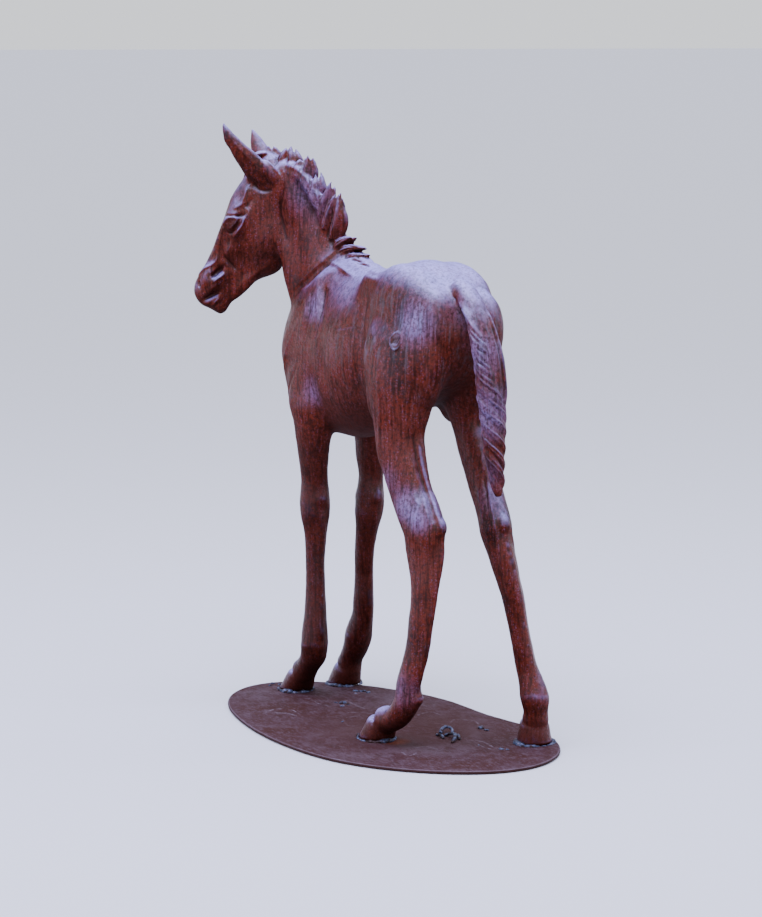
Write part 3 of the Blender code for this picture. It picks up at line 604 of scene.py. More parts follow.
# Each lock of the mane: its foot, its middle, its tip and its half width
MANE = (
    ((-446, -65, 1160), (-450, -72, 1182), (-452, -76, 1199), 10),
    ((-411, -61, 1150), (-411, -61, 1174), (-408, -57, 1194), 14),
    ((-382, -50, 1146), (-384, -52, 1170), (-387, -56, 1191), 10),
    ((-358, -50, 1140), (-358, -50, 1160), (-357, -49, 1175), 10),
    ((-338, -46, 1124), (-336, -42, 1150), (-336, -43, 1176), 11),
    ((-314, -40, 1090), (-309, -36, 1116), (-311, -37, 1140), 10),
    ((-292, -31, 1056), (-285, -26, 1088), (-278, -20, 1121), 11),
    ((-284, -28, 1024), (-275, -22, 1060), (-264, -16, 1097), 10),
    ((-270, -18, 1004), (-256, -13, 1046), (-256, -14, 1088), 12),
    ((-268, -13, 984), (-243, -6, 1001), (-222, 1, 1012), 9),
    ((-257, -6, 976), (-222, 1, 988), (-190, 9, 989), 9),
    ((-232, 0, 967), (-204, 4, 973), (-180, 8, 974), 7),
    ((-206, 3, 961), (-183, 6, 963), (-163, 9, 960), 6),
    ((-183, 3, 953), (-153, 6, 955), (-128, 8, 950), 5),
)
MANE_THICKNESS = 12.0
MANE_OVERREACH = 1.05
MANE_STRANDS = 2
MANE_LEAN = Vector((0.4, 1.0, 0.0))


def mane(bm):
    """Blunt locks that stand along the crest in two rows, each of several strands."""
    for i, (foot, middle, tip, wide) in enumerate(MANE):
        foot, middle = Vector(foot), Vector(middle)
        rise = (Vector(tip) - foot) * MANE_OVERREACH
        across = rise.cross(MANE_LEAN).cross(rise).normalized()
        outward = rise.cross(across).normalized()
        if outward.x < 0:
            outward = -outward
        for row in (LEFT, RIGHT):
            shift = across * (row * MANE_THICKNESS * 0.6)
            slip = rise * (0.05 * row * (1 if i % 2 else -1))
            for k in range(MANE_STRANDS):
                aside = outward * (wide * (2 * k - MANE_STRANDS + 1) / (2 * MANE_STRANDS))
                lift = rise * (0.07 * ((k + i) % 3 - 1))
                lock(bm, [foot + shift + aside, middle + shift * 1.15 + aside,
                          foot + rise + shift * 0.7 + slip + aside * 0.6 + lift],
                     MANE_THICKNESS, wide / MANE_STRANDS ** 0.5, across, blunt=True)


def forelock(bm):
    """Strands that fall forward between the ears."""
    for w, reach in ((-16, 40), (-5, 62), (7, 58), (18, 44)):
        lock(bm, [on_head(-18, 20, w), on_head(4, 44, w * 1.1), on_head(reach, 42, w * 1.2)],
             8, 9, OUT_FACE)


TAIL = (
    (206, 0, 938, 18, 22),
    (238, 0, 920, 21, 24),
    (267, 1, 892, 20, 24),
    (287, 5, 850, 19, 28),
    (298, 10, 800, 20, 31),
    (304, 15, 740, 21, 33),
    (305, 19, 690, 20, 30),
    (304, 23, 630, 17, 25),
    (305, 26, 575, 14, 17),
    (308, 29, 540, 11, 13),
    (310, 31, 519, 6, 7),
)
# Each lock that crosses the tail's back: its two heights, and how far across it goes
TAIL_LOCKS = (
    (908, 800, 0.50), (872, 752, 0.56), (832, 712, 0.66), (792, 690, 0.92),
    (762, 668, 1.0), (728, 638, 1.0), (692, 604, 1.0), (656, 570, 1.0), (622, 538, 1.0),
)
TAIL_LOCK_WIDTH = 10.0
TAIL_LOCK_SWELL = (0.5, 0.8, 0.95, 1.0, 0.95, 0.85, 0.7, 0.3)
# A smooth band down the right of the tail's upper half: heights and half widths
TAIL_BAND = ((900, 5), (870, 9), (820, 11), (770, 11), (725, 9), (694, 4))


def tail_at(height):
    """The tail's middle and its half depth and width at a height."""
    rows = curve_through(TAIL, 8)
    return [np.interp(-height, -rows[:, 2], rows[:, k]) for k in (0, 1, 3, 4)]


def on_tail(height, degrees, share=1.0):
    """A point on the tail: 0 degrees is its right edge, 90 its back and 180 its left edge."""
    x, y, depth, width = tail_at(height)
    a = math.radians(degrees)
    return Vector((x + share * depth * math.sin(a), y + share * width * math.cos(a), height))


def tail(bm):
    """A thick hanging tail, with locks that cross it from its left edge to its right."""
    tube(bm, TAIL, FORWARD, sides=20)
    for high, low, reach in TAIL_LOCKS:
        rows = []
        for k in range(len(TAIL_LOCK_SWELL)):
            t = k / (len(TAIL_LOCK_SWELL) - 1)
            spot = on_tail(high + (low - high) * t, 192 - 172 * t * reach, 0.95)
            swell = TAIL_LOCK_WIDTH * TAIL_LOCK_SWELL[k]
            rows.append((*spot, swell * 0.8, swell))
        tube(bm, rows, FORWARD, sides=10, steps=3)
    band = [(*on_tail(high, 44, 0.84), half, half) for high, half in TAIL_BAND]
    tube(bm, band, FORWARD, sides=12)


# Grooves and ridges: how far each fades across, how deep it goes, and its path

# On the head: each path's points are (down the face, out of it, across it)
FACE_STROKES = (
    (9, 3.0, ((124, 30, 45), (108, 17, 45), (89, 6, 48))),
    (6, -2.5, ((134, 20, 59), (120, 0, 51))),
    (8, -3.5, ((168, 30, 52), (174, 9, 54))),
    (9, 2.5, ((103, -3, 50), (137, -1, 53), (170, -2, 50), (196, -4, 41), (218, -4, 36))),
    (7, 3.0, ((230, 12, 29), (246, 12, 27), (264, 20, 20), (278, 25, 11), (292, 22, 15))),
    (8, -3.5, ((223, 4, 32), (229, -16, 34), (238, -37, 31))),
    (8, -6.0, ((247, -7, 31), (260, -3, 33), (275, 6, 36))),
    (8, 2.5, ((257, -20, 31), (284, -8, 37), (300, -4, 36))),
    (6, -4.5, ((294, -26, 30), (309, -18, 31), (326, -6, 29), (338, 0, 20))),
    (8, 2.0, ((311, -33, 27), (332, -24, 25))),
    (11, -5.0, ((0, -19, 52), (36, -47, 64), (95, -80, 50), (132, -102, 54))),
)
# On the body and neck, as seen on the left side
BODY_STROKES = (
    (14, 3.0, ((-238, -12, 1000), (-273, -37, 966), (-315, -61, 932), (-357, -74, 899))),
    (10, -3.4, ((-240, -34, 985), (-272, -50, 948), (-312, -70, 914), (-350, -80, 884))),
    (11, 3.0, ((-273, -40, 957), (-250, -30, 956), (-187, -39, 945), (-144, -46, 937))),
    (9, -3.2, ((-231, -66, 902), (-217, -74, 884), (-179, -103, 816))),
    (9, -2.4, ((-268, -77, 899), (-265, -89, 857), (-267, -97, 810))),
    (20, -3.4, ((16, -88, 939), (-10, -98, 883), (1, -106, 819), (24, -120, 740), (0, -96, 690))),
    (17, -5.0, ((-188, -103, 811), (-169, -112, 770), (-153, -111, 716), (-145, -105, 685))),
)


def on_both_sides(face, body):
    """Grooves and ridges of the head and the body, laid on both sides of the foal."""
    out = []
    for side in (LEFT, RIGHT):
        for reach, depth, path in face:
            out.append((reach, depth, [on_head(u, v, -side * w) for u, v, w in path]))
        for reach, depth, path in body:
            out.append((reach, depth, [(x, -side * y, z) for x, y, z in path]))
    return out


# Welding and carving

def mesh_of(build, name):
    """A mesh that holds what a function builds, in units."""
    bm = bmesh.new()
    build(bm)
    bmesh.ops.recalc_face_normals(bm, faces=bm.faces)
    mesh = bpy.data.meshes.new(name)
    bm.to_mesh(mesh)
    bm.free()
    return mesh


def evaluated(mesh, kind, **settings):
    """The mesh after a modifier with these settings."""
    obj = bpy.data.objects.new("blank", mesh)
    bpy.context.scene.collection.objects.link(obj)
    modifier = obj.modifiers.new(kind.lower(), kind)
    for name, value in settings.items():
        setattr(modifier, name, value)
    graph = bpy.context.evaluated_depsgraph_get()
    made = bpy.data.meshes.new_from_object(obj.evaluated_get(graph))
    bpy.data.objects.remove(obj)
    return made


def welded(mesh, voxel):
    """One closed skin around everything in the mesh."""
    return evaluated(mesh, "REMESH", mode="VOXEL", voxel_size=voxel)


def joined(*meshes):
    """One mesh that holds all of these."""
    bm = bmesh.new()
    for mesh in meshes:
        bm.from_mesh(mesh)
    made = bpy.data.meshes.new("joined")
    bm.to_mesh(made)
    bm.free()
    return made


# How much of the way to its neighbours' middle a point goes in a round of smoothing or filling
SMOOTHING, FILLING = 0.5, 0.8
# How close a stroke's points lie, as a share of its reach
STROKE_SPACING = 0.3


class Skin:
    """A mesh's points, with the sums that smoothing and carving need."""

    def __init__(self, mesh):
        self.mesh = mesh
        self.points = np.empty(len(mesh.vertices) * 3)
        mesh.vertices.foreach_get("co", self.points)
        self.points = self.points.reshape(-1, 3)
        edges = np.empty(len(mesh.edges) * 2, np.int32)
        mesh.edges.foreach_get("vertices", edges)
        self.edges = edges.reshape(-1, 2)
        self.valence = np.bincount(edges, minlength=len(self.points))[:, None]

    def pull(self):
        """The way from each point to the middle of its neighbours."""
        a, b = self.edges.T
        total = np.empty_like(self.points)
        for axis in range(3):
            values = self.points[:, axis]
            total[:, axis] = np.bincount(a, values[b], len(values))
            total[:, axis] += np.bincount(b, values[a], len(values))
        return total / self.valence - self.points

    def normals(self):
        """The direction out of the skin at each point."""
        self.write()
        out = np.empty(len(self.points) * 3)
        self.mesh.vertex_normals.foreach_get("vector", out)
        return out.reshape(-1, 3)

    def write(self):
        """Puts the points back into the mesh."""
        self.mesh.vertices.foreach_set("co", self.points.ravel())
        self.mesh.update()

    def smooth(self, rounds, where=1.0):
        """Draws each point towards the middle of its neighbours."""
        for _ in range(rounds):
            self.points += self.pull() * SMOOTHING * where

    def press(self, strokes):
        """Grooves, or ridges where the depth is above nothing, along paths on the skin.

        Each stroke is (reach, depth, points): it fades across by reach and at both ends.
        """
        tree = KDTree(len(self.points))
        for i, point in enumerate(self.points):
            tree.insert(point, i)
        tree.balance()
        normals = self.normals()
        moved = np.zeros_like(self.points)
        for reach, depth, path in strokes:
            laid = curve_through(path, 8)
            laid = np.array([self.points[tree.find(point)[1]] for point in laid])
            for _ in range(3):
                laid[1:-1] = (laid[:-2] + laid[1:-1] * 2 + laid[2:]) / 4
            run = np.concatenate([[0], np.cumsum(np.linalg.norm(np.diff(laid, axis=0), axis=1))])
            count = max(3, int(run[-1] / (reach * STROKE_SPACING)))
            along = np.linspace(0, run[-1], count)
            laid = np.stack([np.interp(along, run, laid[:, k]) for k in range(3)], axis=1)
            low, high = laid.min(axis=0) - 2 * reach, laid.max(axis=0) + 2 * reach
            near = np.flatnonzero(((self.points > low) & (self.points < high)).all(axis=1))
            gaps = np.linalg.norm(self.points[near][:, None] - laid[None], axis=2)
            nearest = gaps.argmin(axis=1)
            gap = gaps[np.arange(len(near)), nearest]
            fade = np.sin(math.pi * (nearest + 0.5) / count) ** 0.5
            amount = depth * fade * np.exp(-(gap / reach) ** 2)
            moved[near] += normals[near] * amount[:, None]
        self.points += moved

    def fill_valleys(self, rounds, where=1.0):
        """Points in a hollow rise to the mean of their neighbours; ridges stay."""
        for i in range(rounds):
            if i % 5 == 0:
                normals = self.normals()
            rise = (self.pull() * normals).sum(axis=1, keepdims=True)
            self.points += normals * np.maximum(rise, 0) * FILLING * where


def body_forms(bm):
    """Trunk, neck, head and limbs."""
    trunk(bm)
    neck(bm)
    head(bm)
    for side in (LEFT, RIGHT):
        shoulder(bm, side)
        rump(bm, side)
    fore_limb(bm, LEFT_FORE)
    fore_limb(bm, RIGHT_FORE)
    hind_limb(bm, LEFT_HIND, LEFT_HIND_HEADING)
    hind_limb(bm, RIGHT_HIND, RIGHT_HIND_HEADING)


def trimming_forms(bm):
    """Hooves, ears, hair, tail and eyes, which are welded on after the body is softened."""
    for x, y, toe, coronet in HOOVES.values():
        hoof(bm, x, y, toe, coronet)
    for spine, root in zip((LEFT_EAR, RIGHT_EAR), EAR_ROOTS):
        ear(bm, spine, root)
    mane(bm)
    forelock(bm)
    tail(bm)
    eyes(bm)


# Rounds of filling and smoothing that the body gets, all over and on the trunk alone
FILL_ALL, FILL_TRUNK, SMOOTH_TRUNK, SMOOTH_ALL = 16, 40, 8, 3


def body_mesh():
    """The body without its hair, ears and hooves, softened where one muscle meets another."""
    skin = Skin(welded(mesh_of(body_forms, "body"), BODY_VOXEL))
    skin.fill_valleys(FILL_ALL)
    on_trunk = np.clip((skin.points[:, 2] - TRUNK_FOOT) / TRUNK_FADE, 0, 1)
    on_trunk *= np.clip((TRUNK_HEAD - skin.points[:, 2]) / TRUNK_FADE, 0, 1)
    on_trunk = on_trunk[:, None]
    skin.fill_valleys(FILL_TRUNK, on_trunk)
    skin.smooth(SMOOTH_TRUNK, on_trunk)
    skin.smooth(SMOOTH_ALL)
    skin.write()
    return skin.mesh


# Finer carving

# On the head: reach, depth, and points down the face, out of it and across it
FACE_LINES = (
    (4, -4.5, ((145, 40, 30), (137, 31, 53), (131, 17, 56), (122, 3, 53))),
    (4.5, -6.0, ((131, 8, 56), (142, 5, 59), (155, 5, 60), (170, 8, 55), (174, 18, 49))),
    (3, 2.8, ((114, -3, 53), (129, -1, 54), (145, -2, 58), (160, 0, 58), (174, 0, 54))),
    (5, 2.2, ((174, 0, 54), (198, -2, 44), (215, -3, 39))),
    (4, 3.2, ((64, 24, 39), (80, 22, 43), (94, 20, 46), (108, 20, 50), (122, 28, 48))),
    (7, -4.5, ((80, 4, 49), (94, 6, 50), (108, 7, 51))),
    (4, -4.2, ((19, -43, 60), (39, -50, 59), (78, -62, 50), (105, -85, 50), (129, -103, 56))),
    (3, 2.8, ((227, 15, 29), (242, 12, 29), (259, 19, 28), (273, 28, 20), (291, 31, 7))),
    (5, -5.5, ((246, -8, 31), (261, -2, 30), (278, 3, 34))),
    (3, 3.0, ((257, -17, 32), (270, -11, 35), (284, -5, 39))),
    (5, 3.0, ((282, -16, 34), (297, -7, 36), (317, 0, 30))),
    (4.5, -5.5, ((298, -26, 28), (313, -15, 26), (330, -4, 25))),
    (2.8, 2.4, ((311, -31, 28), (322, -28, 29), (334, -25, 24))),
    (3.2, -3.0, ((222, 2, 32), (229, -14, 31), (238, -36, 30))),
    (4.5, -6.0, ((296, 24, 18), (303, 22, 21), (310, 15, 24))),
    (3, -1.4, ((306, -40, 26), (320, -38, 25), (334, -28, 21))),
    (6, 1.8, ((170, -92, 34), (196, -92, 30), (230, -74, 25), (270, -56, 22))),
    (4, -1.6, ((186, -20, 42), (206, -34, 38), (230, -40, 33))),
    (3, 2.0, ((-2, 33, 50), (3, 12, 48), (7, -20, 54), (18, -33, 58), (30, -35, 56))),
    (5, -4.0, ((44, 30, 50), (54, 14, 46), (58, -6, 48), (48, -24, 56))),
)
# On the body, as seen on the left side
BODY_LINES = (
    (5, 2.0, ((-236, -20, 1000), (-272, -44, 960), (-313, -66, 925), (-356, -77, 893))),
    (5, -2.5, ((-246, -40, 972), (-276, -58, 936), (-312, -74, 904))),
    (5, -4.5, ((-229, -66, 904), (-222, -76, 882), (-214, -88, 850), (-206, -100, 800))),
    (8, 3.0, ((-250, -70, 905), (-238, -84, 872), (-230, -96, 826))),
    (7, -2.4, ((-268, -76, 896), (-262, -90, 850), (-258, -98, 806))),
    (5, 1.8, ((-276, -44, 955), (-250, -34, 955), (-187, -42, 944), (-144, -48, 936), (-120, -58, 934))),
    (3, -1.0, ((-111, -108, 829), (-88, -108, 834), (-65, -108, 836), (-25, -104, 847))),
    (6, -2.5, ((20, -86, 930), (-8, -98, 880), (2, -106, 819), (26, -120, 745), (6, -100, 690))),
    (5, 1.6, ((-360, -62, 700), (-350, -90, 740), (-330, -100, 790), (-300, -96, 840))),
    (6, -2.0, ((-330, -96, 640), (-310, -98, 690), (-290, -106, 730))),
    (6, 1.6, ((70, -110, 850), (110, -118, 790), (136, -126, 720), (150, -130, 660))),
    (6, -2.0, ((-80, -64, 960), (-30, -74, 950), (30, -80, 948))),
)
# On the left hind limb and then on the right one: sinews, veins and the edges of the hock
HOCK_LINES = (
    (5, 4.0, ((226, -95, 630), (237, -91, 567), (254, -82, 505), (277, -80, 455))),
    (6, -6.0, ((214, -105, 640), (220, -94, 565), (230, -84, 509), (252, -87, 465))),
    (5, 2.6, ((201, -112, 551), (216, -110, 515), (226, -105, 493), (222, -121, 430))),
    (4, 1.6, ((223, -92, 512), (244, -94, 480), (259, -94, 460))),
    (5, -2.4, ((228, -112, 470), (240, -112, 440), (250, -108, 410))),
    (5, -1.8, ((180, -118, 500), (186, -120, 460), (190, -120, 420))),
    (6, 1.8, ((120, -130, 760), (128, -134, 700), (124, -132, 650), (118, -128, 610))),
    (5, 4.0, ((208, 48, 614), (226, 55, 545), (256, 53, 485), (274, 49, 451), (281, 61, 384),
              (294, 75, 302))),
    (5, 3.0, ((214, 45, 524), (228, 42, 488), (243, 38, 451))),
    (5, -4.0, ((216, 56, 560), (238, 52, 510), (254, 46, 470))),
    (4, 2.0, ((271, 68, 498), (276, 80, 440), (274, 92, 391))),
)
# The eyelids' edges, and the eye's middle, radii and tilt
UPPER_LID = ((136, 11, 58), (137, 21, 60), (143, 29, 60), (152, 33, 57), (164, 33, 51))
LOWER_LID = ((136, 11, 58), (146, 11, 61), (156, 14, 61), (165, 21, 58), (166, 30, 52))
EYE = (149, 21, 46)
EYE_RADII, EYE_TILT, EYE_BULGE = (14, 9.5, 12.5), 38, 10

# The oval seal on the left thigh: a plain raised ring, and three slanting strokes pressed in
SEAL_CENTRE, SEAL_HALF_WIDTH, SEAL_HALF_HEIGHT = Vector((157, -122, 829)), 14.0, 18.5
SEAL_ALONG = Vector((0.93, 0.37, 0.0)).normalized()
# The reach and depth of its ring and of its strokes
SEAL_RING, SEAL_CUT = (1.9, 1.8), (2.0, -2.6)


def half_turns(overlap, count):
    """Two runs of angles that make a full turn and overlap where they meet."""
    sweep = 180 + 2 * overlap
    return [[math.radians(start - overlap + sweep * k / count) for k in range(count + 1)]
            for start in (0, 180)]


def seal_strokes():
    """The seal's raised ring, and the strokes inside it."""
    def on_seal(aside, rise):
        return SEAL_CENTRE + SEAL_ALONG * aside + UP * rise

    out = []
    for turns in half_turns(10, 12):
        out.append((*SEAL_RING, [on_seal(SEAL_HALF_WIDTH * math.cos(a), SEAL_HALF_HEIGHT * math.sin(a))
                                 for a in turns]))
    for aside in (-5, 0, 5):
        out.append((*SEAL_CUT, [on_seal(aside + slant, rise)
                                for slant, rise in ((-3, -8), (-1, 0), (3, 8))]))
    return out


# Where each groove of the tail starts, how far it falls, where the lowest end, and over what
# height they stop short of the smooth band
GROOVE_STARTS, GROOVE_FALL, GROOVES_END, BAND_END = range(885, 570, -15), 88, 530, 700


def tail_strokes():
    """Grooves between the tail's strands, and one down each side of it."""
    out = []
    for start in GROOVE_STARTS:
        path = []
        for k in range(8):
            t = k / 7
            height = start - GROOVE_FALL * t
            if height > GROOVES_END and (height < BAND_END or t < 0.62):
                path.append(on_tail(height, 196 - 172 * t, 1.5))
        if len(path) > 3:
            out.append((2.8, -2.6, path))
    out.append((3.6, -4.5, [on_tail(height, 68, 1.5) for height in (885, 850, 800, 750, 705)]))
    out.append((3.6, -3.0, [on_tail(height, 205, 1.3) for height in (880, 830, 760, 690, 620)]))
    return out


def mane_strokes():
    """Two grooves down each lock of the mane, and one along the foot of them all."""
    out = []
    for row in (LEFT, RIGHT):
        out.append((6, -3.5, [Vector(p) + Vector((1, row * 14, -13)) for p in CREST[2:-3]]))
        for foot, middle, tip, wide in MANE:
            foot, middle, tip = Vector(foot), Vector(middle), Vector(tip)
            across = (tip - foot).cross(MANE_LEAN).cross(tip - foot).normalized()
            outward = (tip - foot).cross(across).normalized()
            for share in (-0.35, 0.4):
                aside = outward * (wide * share) + across * (row * MANE_THICKNESS * 1.5)
                out.append((2.6, -2.8, [foot + aside, middle + aside, foot.lerp(tip, 0.9) + aside]))
    return out


def ear_strokes():
    """The hollow in the front of each ear, and a vein down its back."""
    out = []
    for spine, side in ((LEFT_EAR, LEFT), (RIGHT_EAR, RIGHT)):
        inside = [on_head(u + wide, v, w) for u, v, w, _, wide in spine[1:-2]]
        behind = [on_head(u - wide * 0.3, v, w - side * thick)
                  for u, v, w, thick, wide in spine[1:-1]]
        out.append((8, -8.0, inside))
        out.append((4, 1.2, behind))
    return out


def eyes(bm):
    """An eyeball on each side, between a heavy upper lid and a thinner lower one."""
    for side in (LEFT, RIGHT):
        face_lump(bm, on_head(EYE[0], EYE[1], -side * EYE[2]), EYE_RADII, EYE_TILT)
        for path, thick in ((UPPER_LID, 3.4), (LOWER_LID, 2.6)):
            rows = [(*on_head(u, v, -side * w), thick, thick) for u, v, w in path]
            tube(bm, rows, HEAD_LEFT, sides=10, steps=5)


# Places worked smooth: behind the knees, the right hock and the left fore fetlock, the loins and
# hips of both sides, and both sides of the tail's root, where it grows out of the croup
JOINTS = ((-246, -66, 443), (-224, 60, 446), (286, 59, 469), (-259, -60, 114))
LOINS = [(x, side * y, z) for side in (LEFT, RIGHT) for x, y, z in (
    (-109, 44, 937), (-60, 66, 935), (-39, 87, 906), (-15, 87, 933), (0, 80, 945),
    (18, 93, 901), (40, 105, 880), (83, 120, 862), (105, 125, 848))]
TAIL_ROOT = ((200, -16, 940), (225, -20, 932), (245, -20, 922), (256, -20, 908), (266, -20, 890),
             (200, 16, 940), (225, 20, 930), (245, 20, 920))
# How each is worked, for how many rounds, and how far around its spots
WORKED = (
    (Skin.fill_valleys, TAIL_ROOT, 140, 18),
    (Skin.smooth, JOINTS, 30, 20),
    (Skin.fill_valleys, LOINS, 60, 32),
    (Skin.smooth, LOINS, 150, 32),
)
# The right hind pastern's waist and the fetlock above it: height, reach and depth
PASTERN_RINGS = ((66, 14, -3.0), (100, 14, 1.6))


def nearness(points, spots, reach):
    """How near each point is to the nearest spot, from 1 down to 0."""
    gaps = np.min([np.linalg.norm(points - np.array(spot), axis=1) for spot in spots], axis=0)
    return np.exp(-(gaps / reach) ** 2)[:, None]


def pastern_strokes():
    """Rings around the right hind pastern."""
    out = []
    for height, reach, depth in PASTERN_RINGS:
        middle, half = at_height(RIGHT_HIND, height)
        for turns in half_turns(20, 10):
            out.append((reach, depth, [middle + Vector((math.cos(a), math.sin(a), 0)) * half
                                       for a in turns]))
    return out


def roughened(skin, size, depth, shift):
    """The hand's unevenness in the wax: points moved along their normals by smooth noise."""
    normals = skin.normals()
    scaled = skin.points / size + shift
    waves = np.array([noise.noise(point) for point in scaled])
    skin.points += normals * (waves * depth)[:, None]


# Strokes that reach further than this are pressed in before the trimmings are welded on, and the
# seams get rounds of filling and the whole skin rounds of smoothing after it
WIDE_STROKE, FILL_SEAMS, SMOOTH_SEAMS = 8.5, 3, 2
# The mould's unevenness: the size of its waves, their depth, and a shift that parts the two
UNEVENNESS = ((46, 1.0, 3.7), (13, 0.4, 9.1))


def casting_mesh(detail):
    """The whole foal as one skin, in units."""
    bold = on_both_sides(FACE_STROKES, BODY_STROKES)
    body = Skin(body_mesh())
    body.press([stroke for stroke in bold if stroke[0] > WIDE_STROKE])
    body.write()
    skin = Skin(welded(joined(body.mesh, mesh_of(trimming_forms, "trimmings")), detail))
    skin.fill_valleys(FILL_SEAMS)
    for work, spots, rounds, reach in WORKED:
        work(skin, rounds, nearness(skin.points, spots, reach))
    skin.smooth(SMOOTH_SEAMS)
    skin.press([stroke for stroke in bold if stroke[0] <= WIDE_STROKE] + pastern_strokes())
    skin.press(seal_strokes() + tail_strokes() + mane_strokes() + ear_strokes()
               + on_both_sides(FACE_LINES, BODY_LINES) + list(HOCK_LINES))
    for size, depth, shift in UNEVENNESS:
        roughened(skin, size, depth, shift)
    skin.points[:, 2] -= skin.points[:, 2].min()
    skin.write()
    return skin.mesh


def keep(mesh, name, values):
    """Keeps a number for each point on the mesh, for the materials to read."""
    kept = mesh.attributes.new(name, "FLOAT", "POINT")
    kept.data.foreach_set("value", values.astype(np.float32))


def keep_relief(mesh, name, rounds, height):
    """Keeps how far each point stands out from the smoothed skin, as 0 to 1 with 0.5 level."""
    skin = Skin(mesh)
    before, normals = skin.points.copy(), skin.normals()
    skin.smooth(rounds)
    proud = ((before - skin.points) * normals).sum(axis=1) / height
    skin.points = before
    skin.write()
    keep(mesh, name, np.clip(0.5 + 0.5 * proud, 0, 1))


# Objects and their finish

def linear(colour):
    """An sRGB hex colour as the linear numbers that a shader takes."""
    parts = [int(colour[i:i + 2], 16) / 255 for i in (1, 3, 5)]
    return (*(p / 12.92 if p <= 0.04045 else ((p + 0.055) / 1.055) ** 2.4 for p in parts), 1.0)


def feed(tree, node, inputs):
    """Links each input that is given a socket, and sets each that is given a value."""
    for name, value in inputs.items():
        if isinstance(value, bpy.types.NodeSocket):
            tree.links.new(value, node.inputs[name])
        else:
            node.inputs[name].default_value = value


def add(tree, kind, inputs=None, stops=None, **settings):
    """A node with its settings and its inputs, and with colours at the stops of its ramp."""
    made = tree.nodes.new("ShaderNode" + kind)
    for name, value in settings.items():
        setattr(made, name, value)
    if stops:
        ramp = made.color_ramp
        while len(ramp.elements) < len(stops):
            ramp.elements.new(0.5)
        for element, (place, colour) in zip(ramp.elements, stops):
            element.position = place
            element.color = linear(colour)
    feed(tree, made, inputs or {})
    return made


def new_material(name):
    """A material, its nodes and the shader among them."""
    material = bpy.data.materials.new(name)
    material.use_nodes = True
    return material, material.node_tree, material.node_tree.nodes["Principled BSDF"]


# Painted highlights, pale spots of reflected light: place on the row, reach and the most it shows
PAINTED_HIGHLIGHTS = (
    ((-0.240, -0.025, 0.875), 0.050, 0.34), ((-0.302, 0.002, 1.108), 0.085, 0.18),
    ((0.201, -0.036, 0.878), 0.070, 0.36), ((0.203, -0.060, 0.508), 0.055, 0.30),
    ((0.241, -0.052, 0.482), 0.040, 0.34), ((-0.218, -0.041, 0.695), 0.050, 0.16),
    ((0.151, -0.069, 0.553), 0.045, 0.14), ((0.280, 0.040, 0.905), 0.060, 0.22),
    ((0.316, 0.046, 0.820), 0.070, 0.30), ((0.322, 0.060, 0.700), 0.080, 0.28),
    ((0.290, 0.075, 0.580), 0.060, 0.16), ((0.222, -0.083, 0.133), 0.055, 0.12),
    ((0.262, 0.100, 0.520), 0.050, 0.16),
)


def layered(tree, tone, layers):
    """Lays colours over a tone.

    Each layer is a colour, the most it covers and the spans that it keeps to. A span is a value
    with the two ends between which it starts to count, and its least share.
    """
    for colour, most, *spans in layers:
        share = most
        for value, low, high, least in spans:
            part = add(tree, "MapRange", {"Value": value, "From Min": low, "From Max": high,
                                          "To Min": least}, interpolation_type="SMOOTHSTEP")
            share = add(tree, "Math", {0: part.outputs["Result"], 1: share},
                        operation="MULTIPLY").outputs["Value"]
        tone = add(tree, "Mix", {"Factor": share, "A": tone, "B": linear(colour)},
                   data_type="RGBA").outputs["Result"]
    return tone


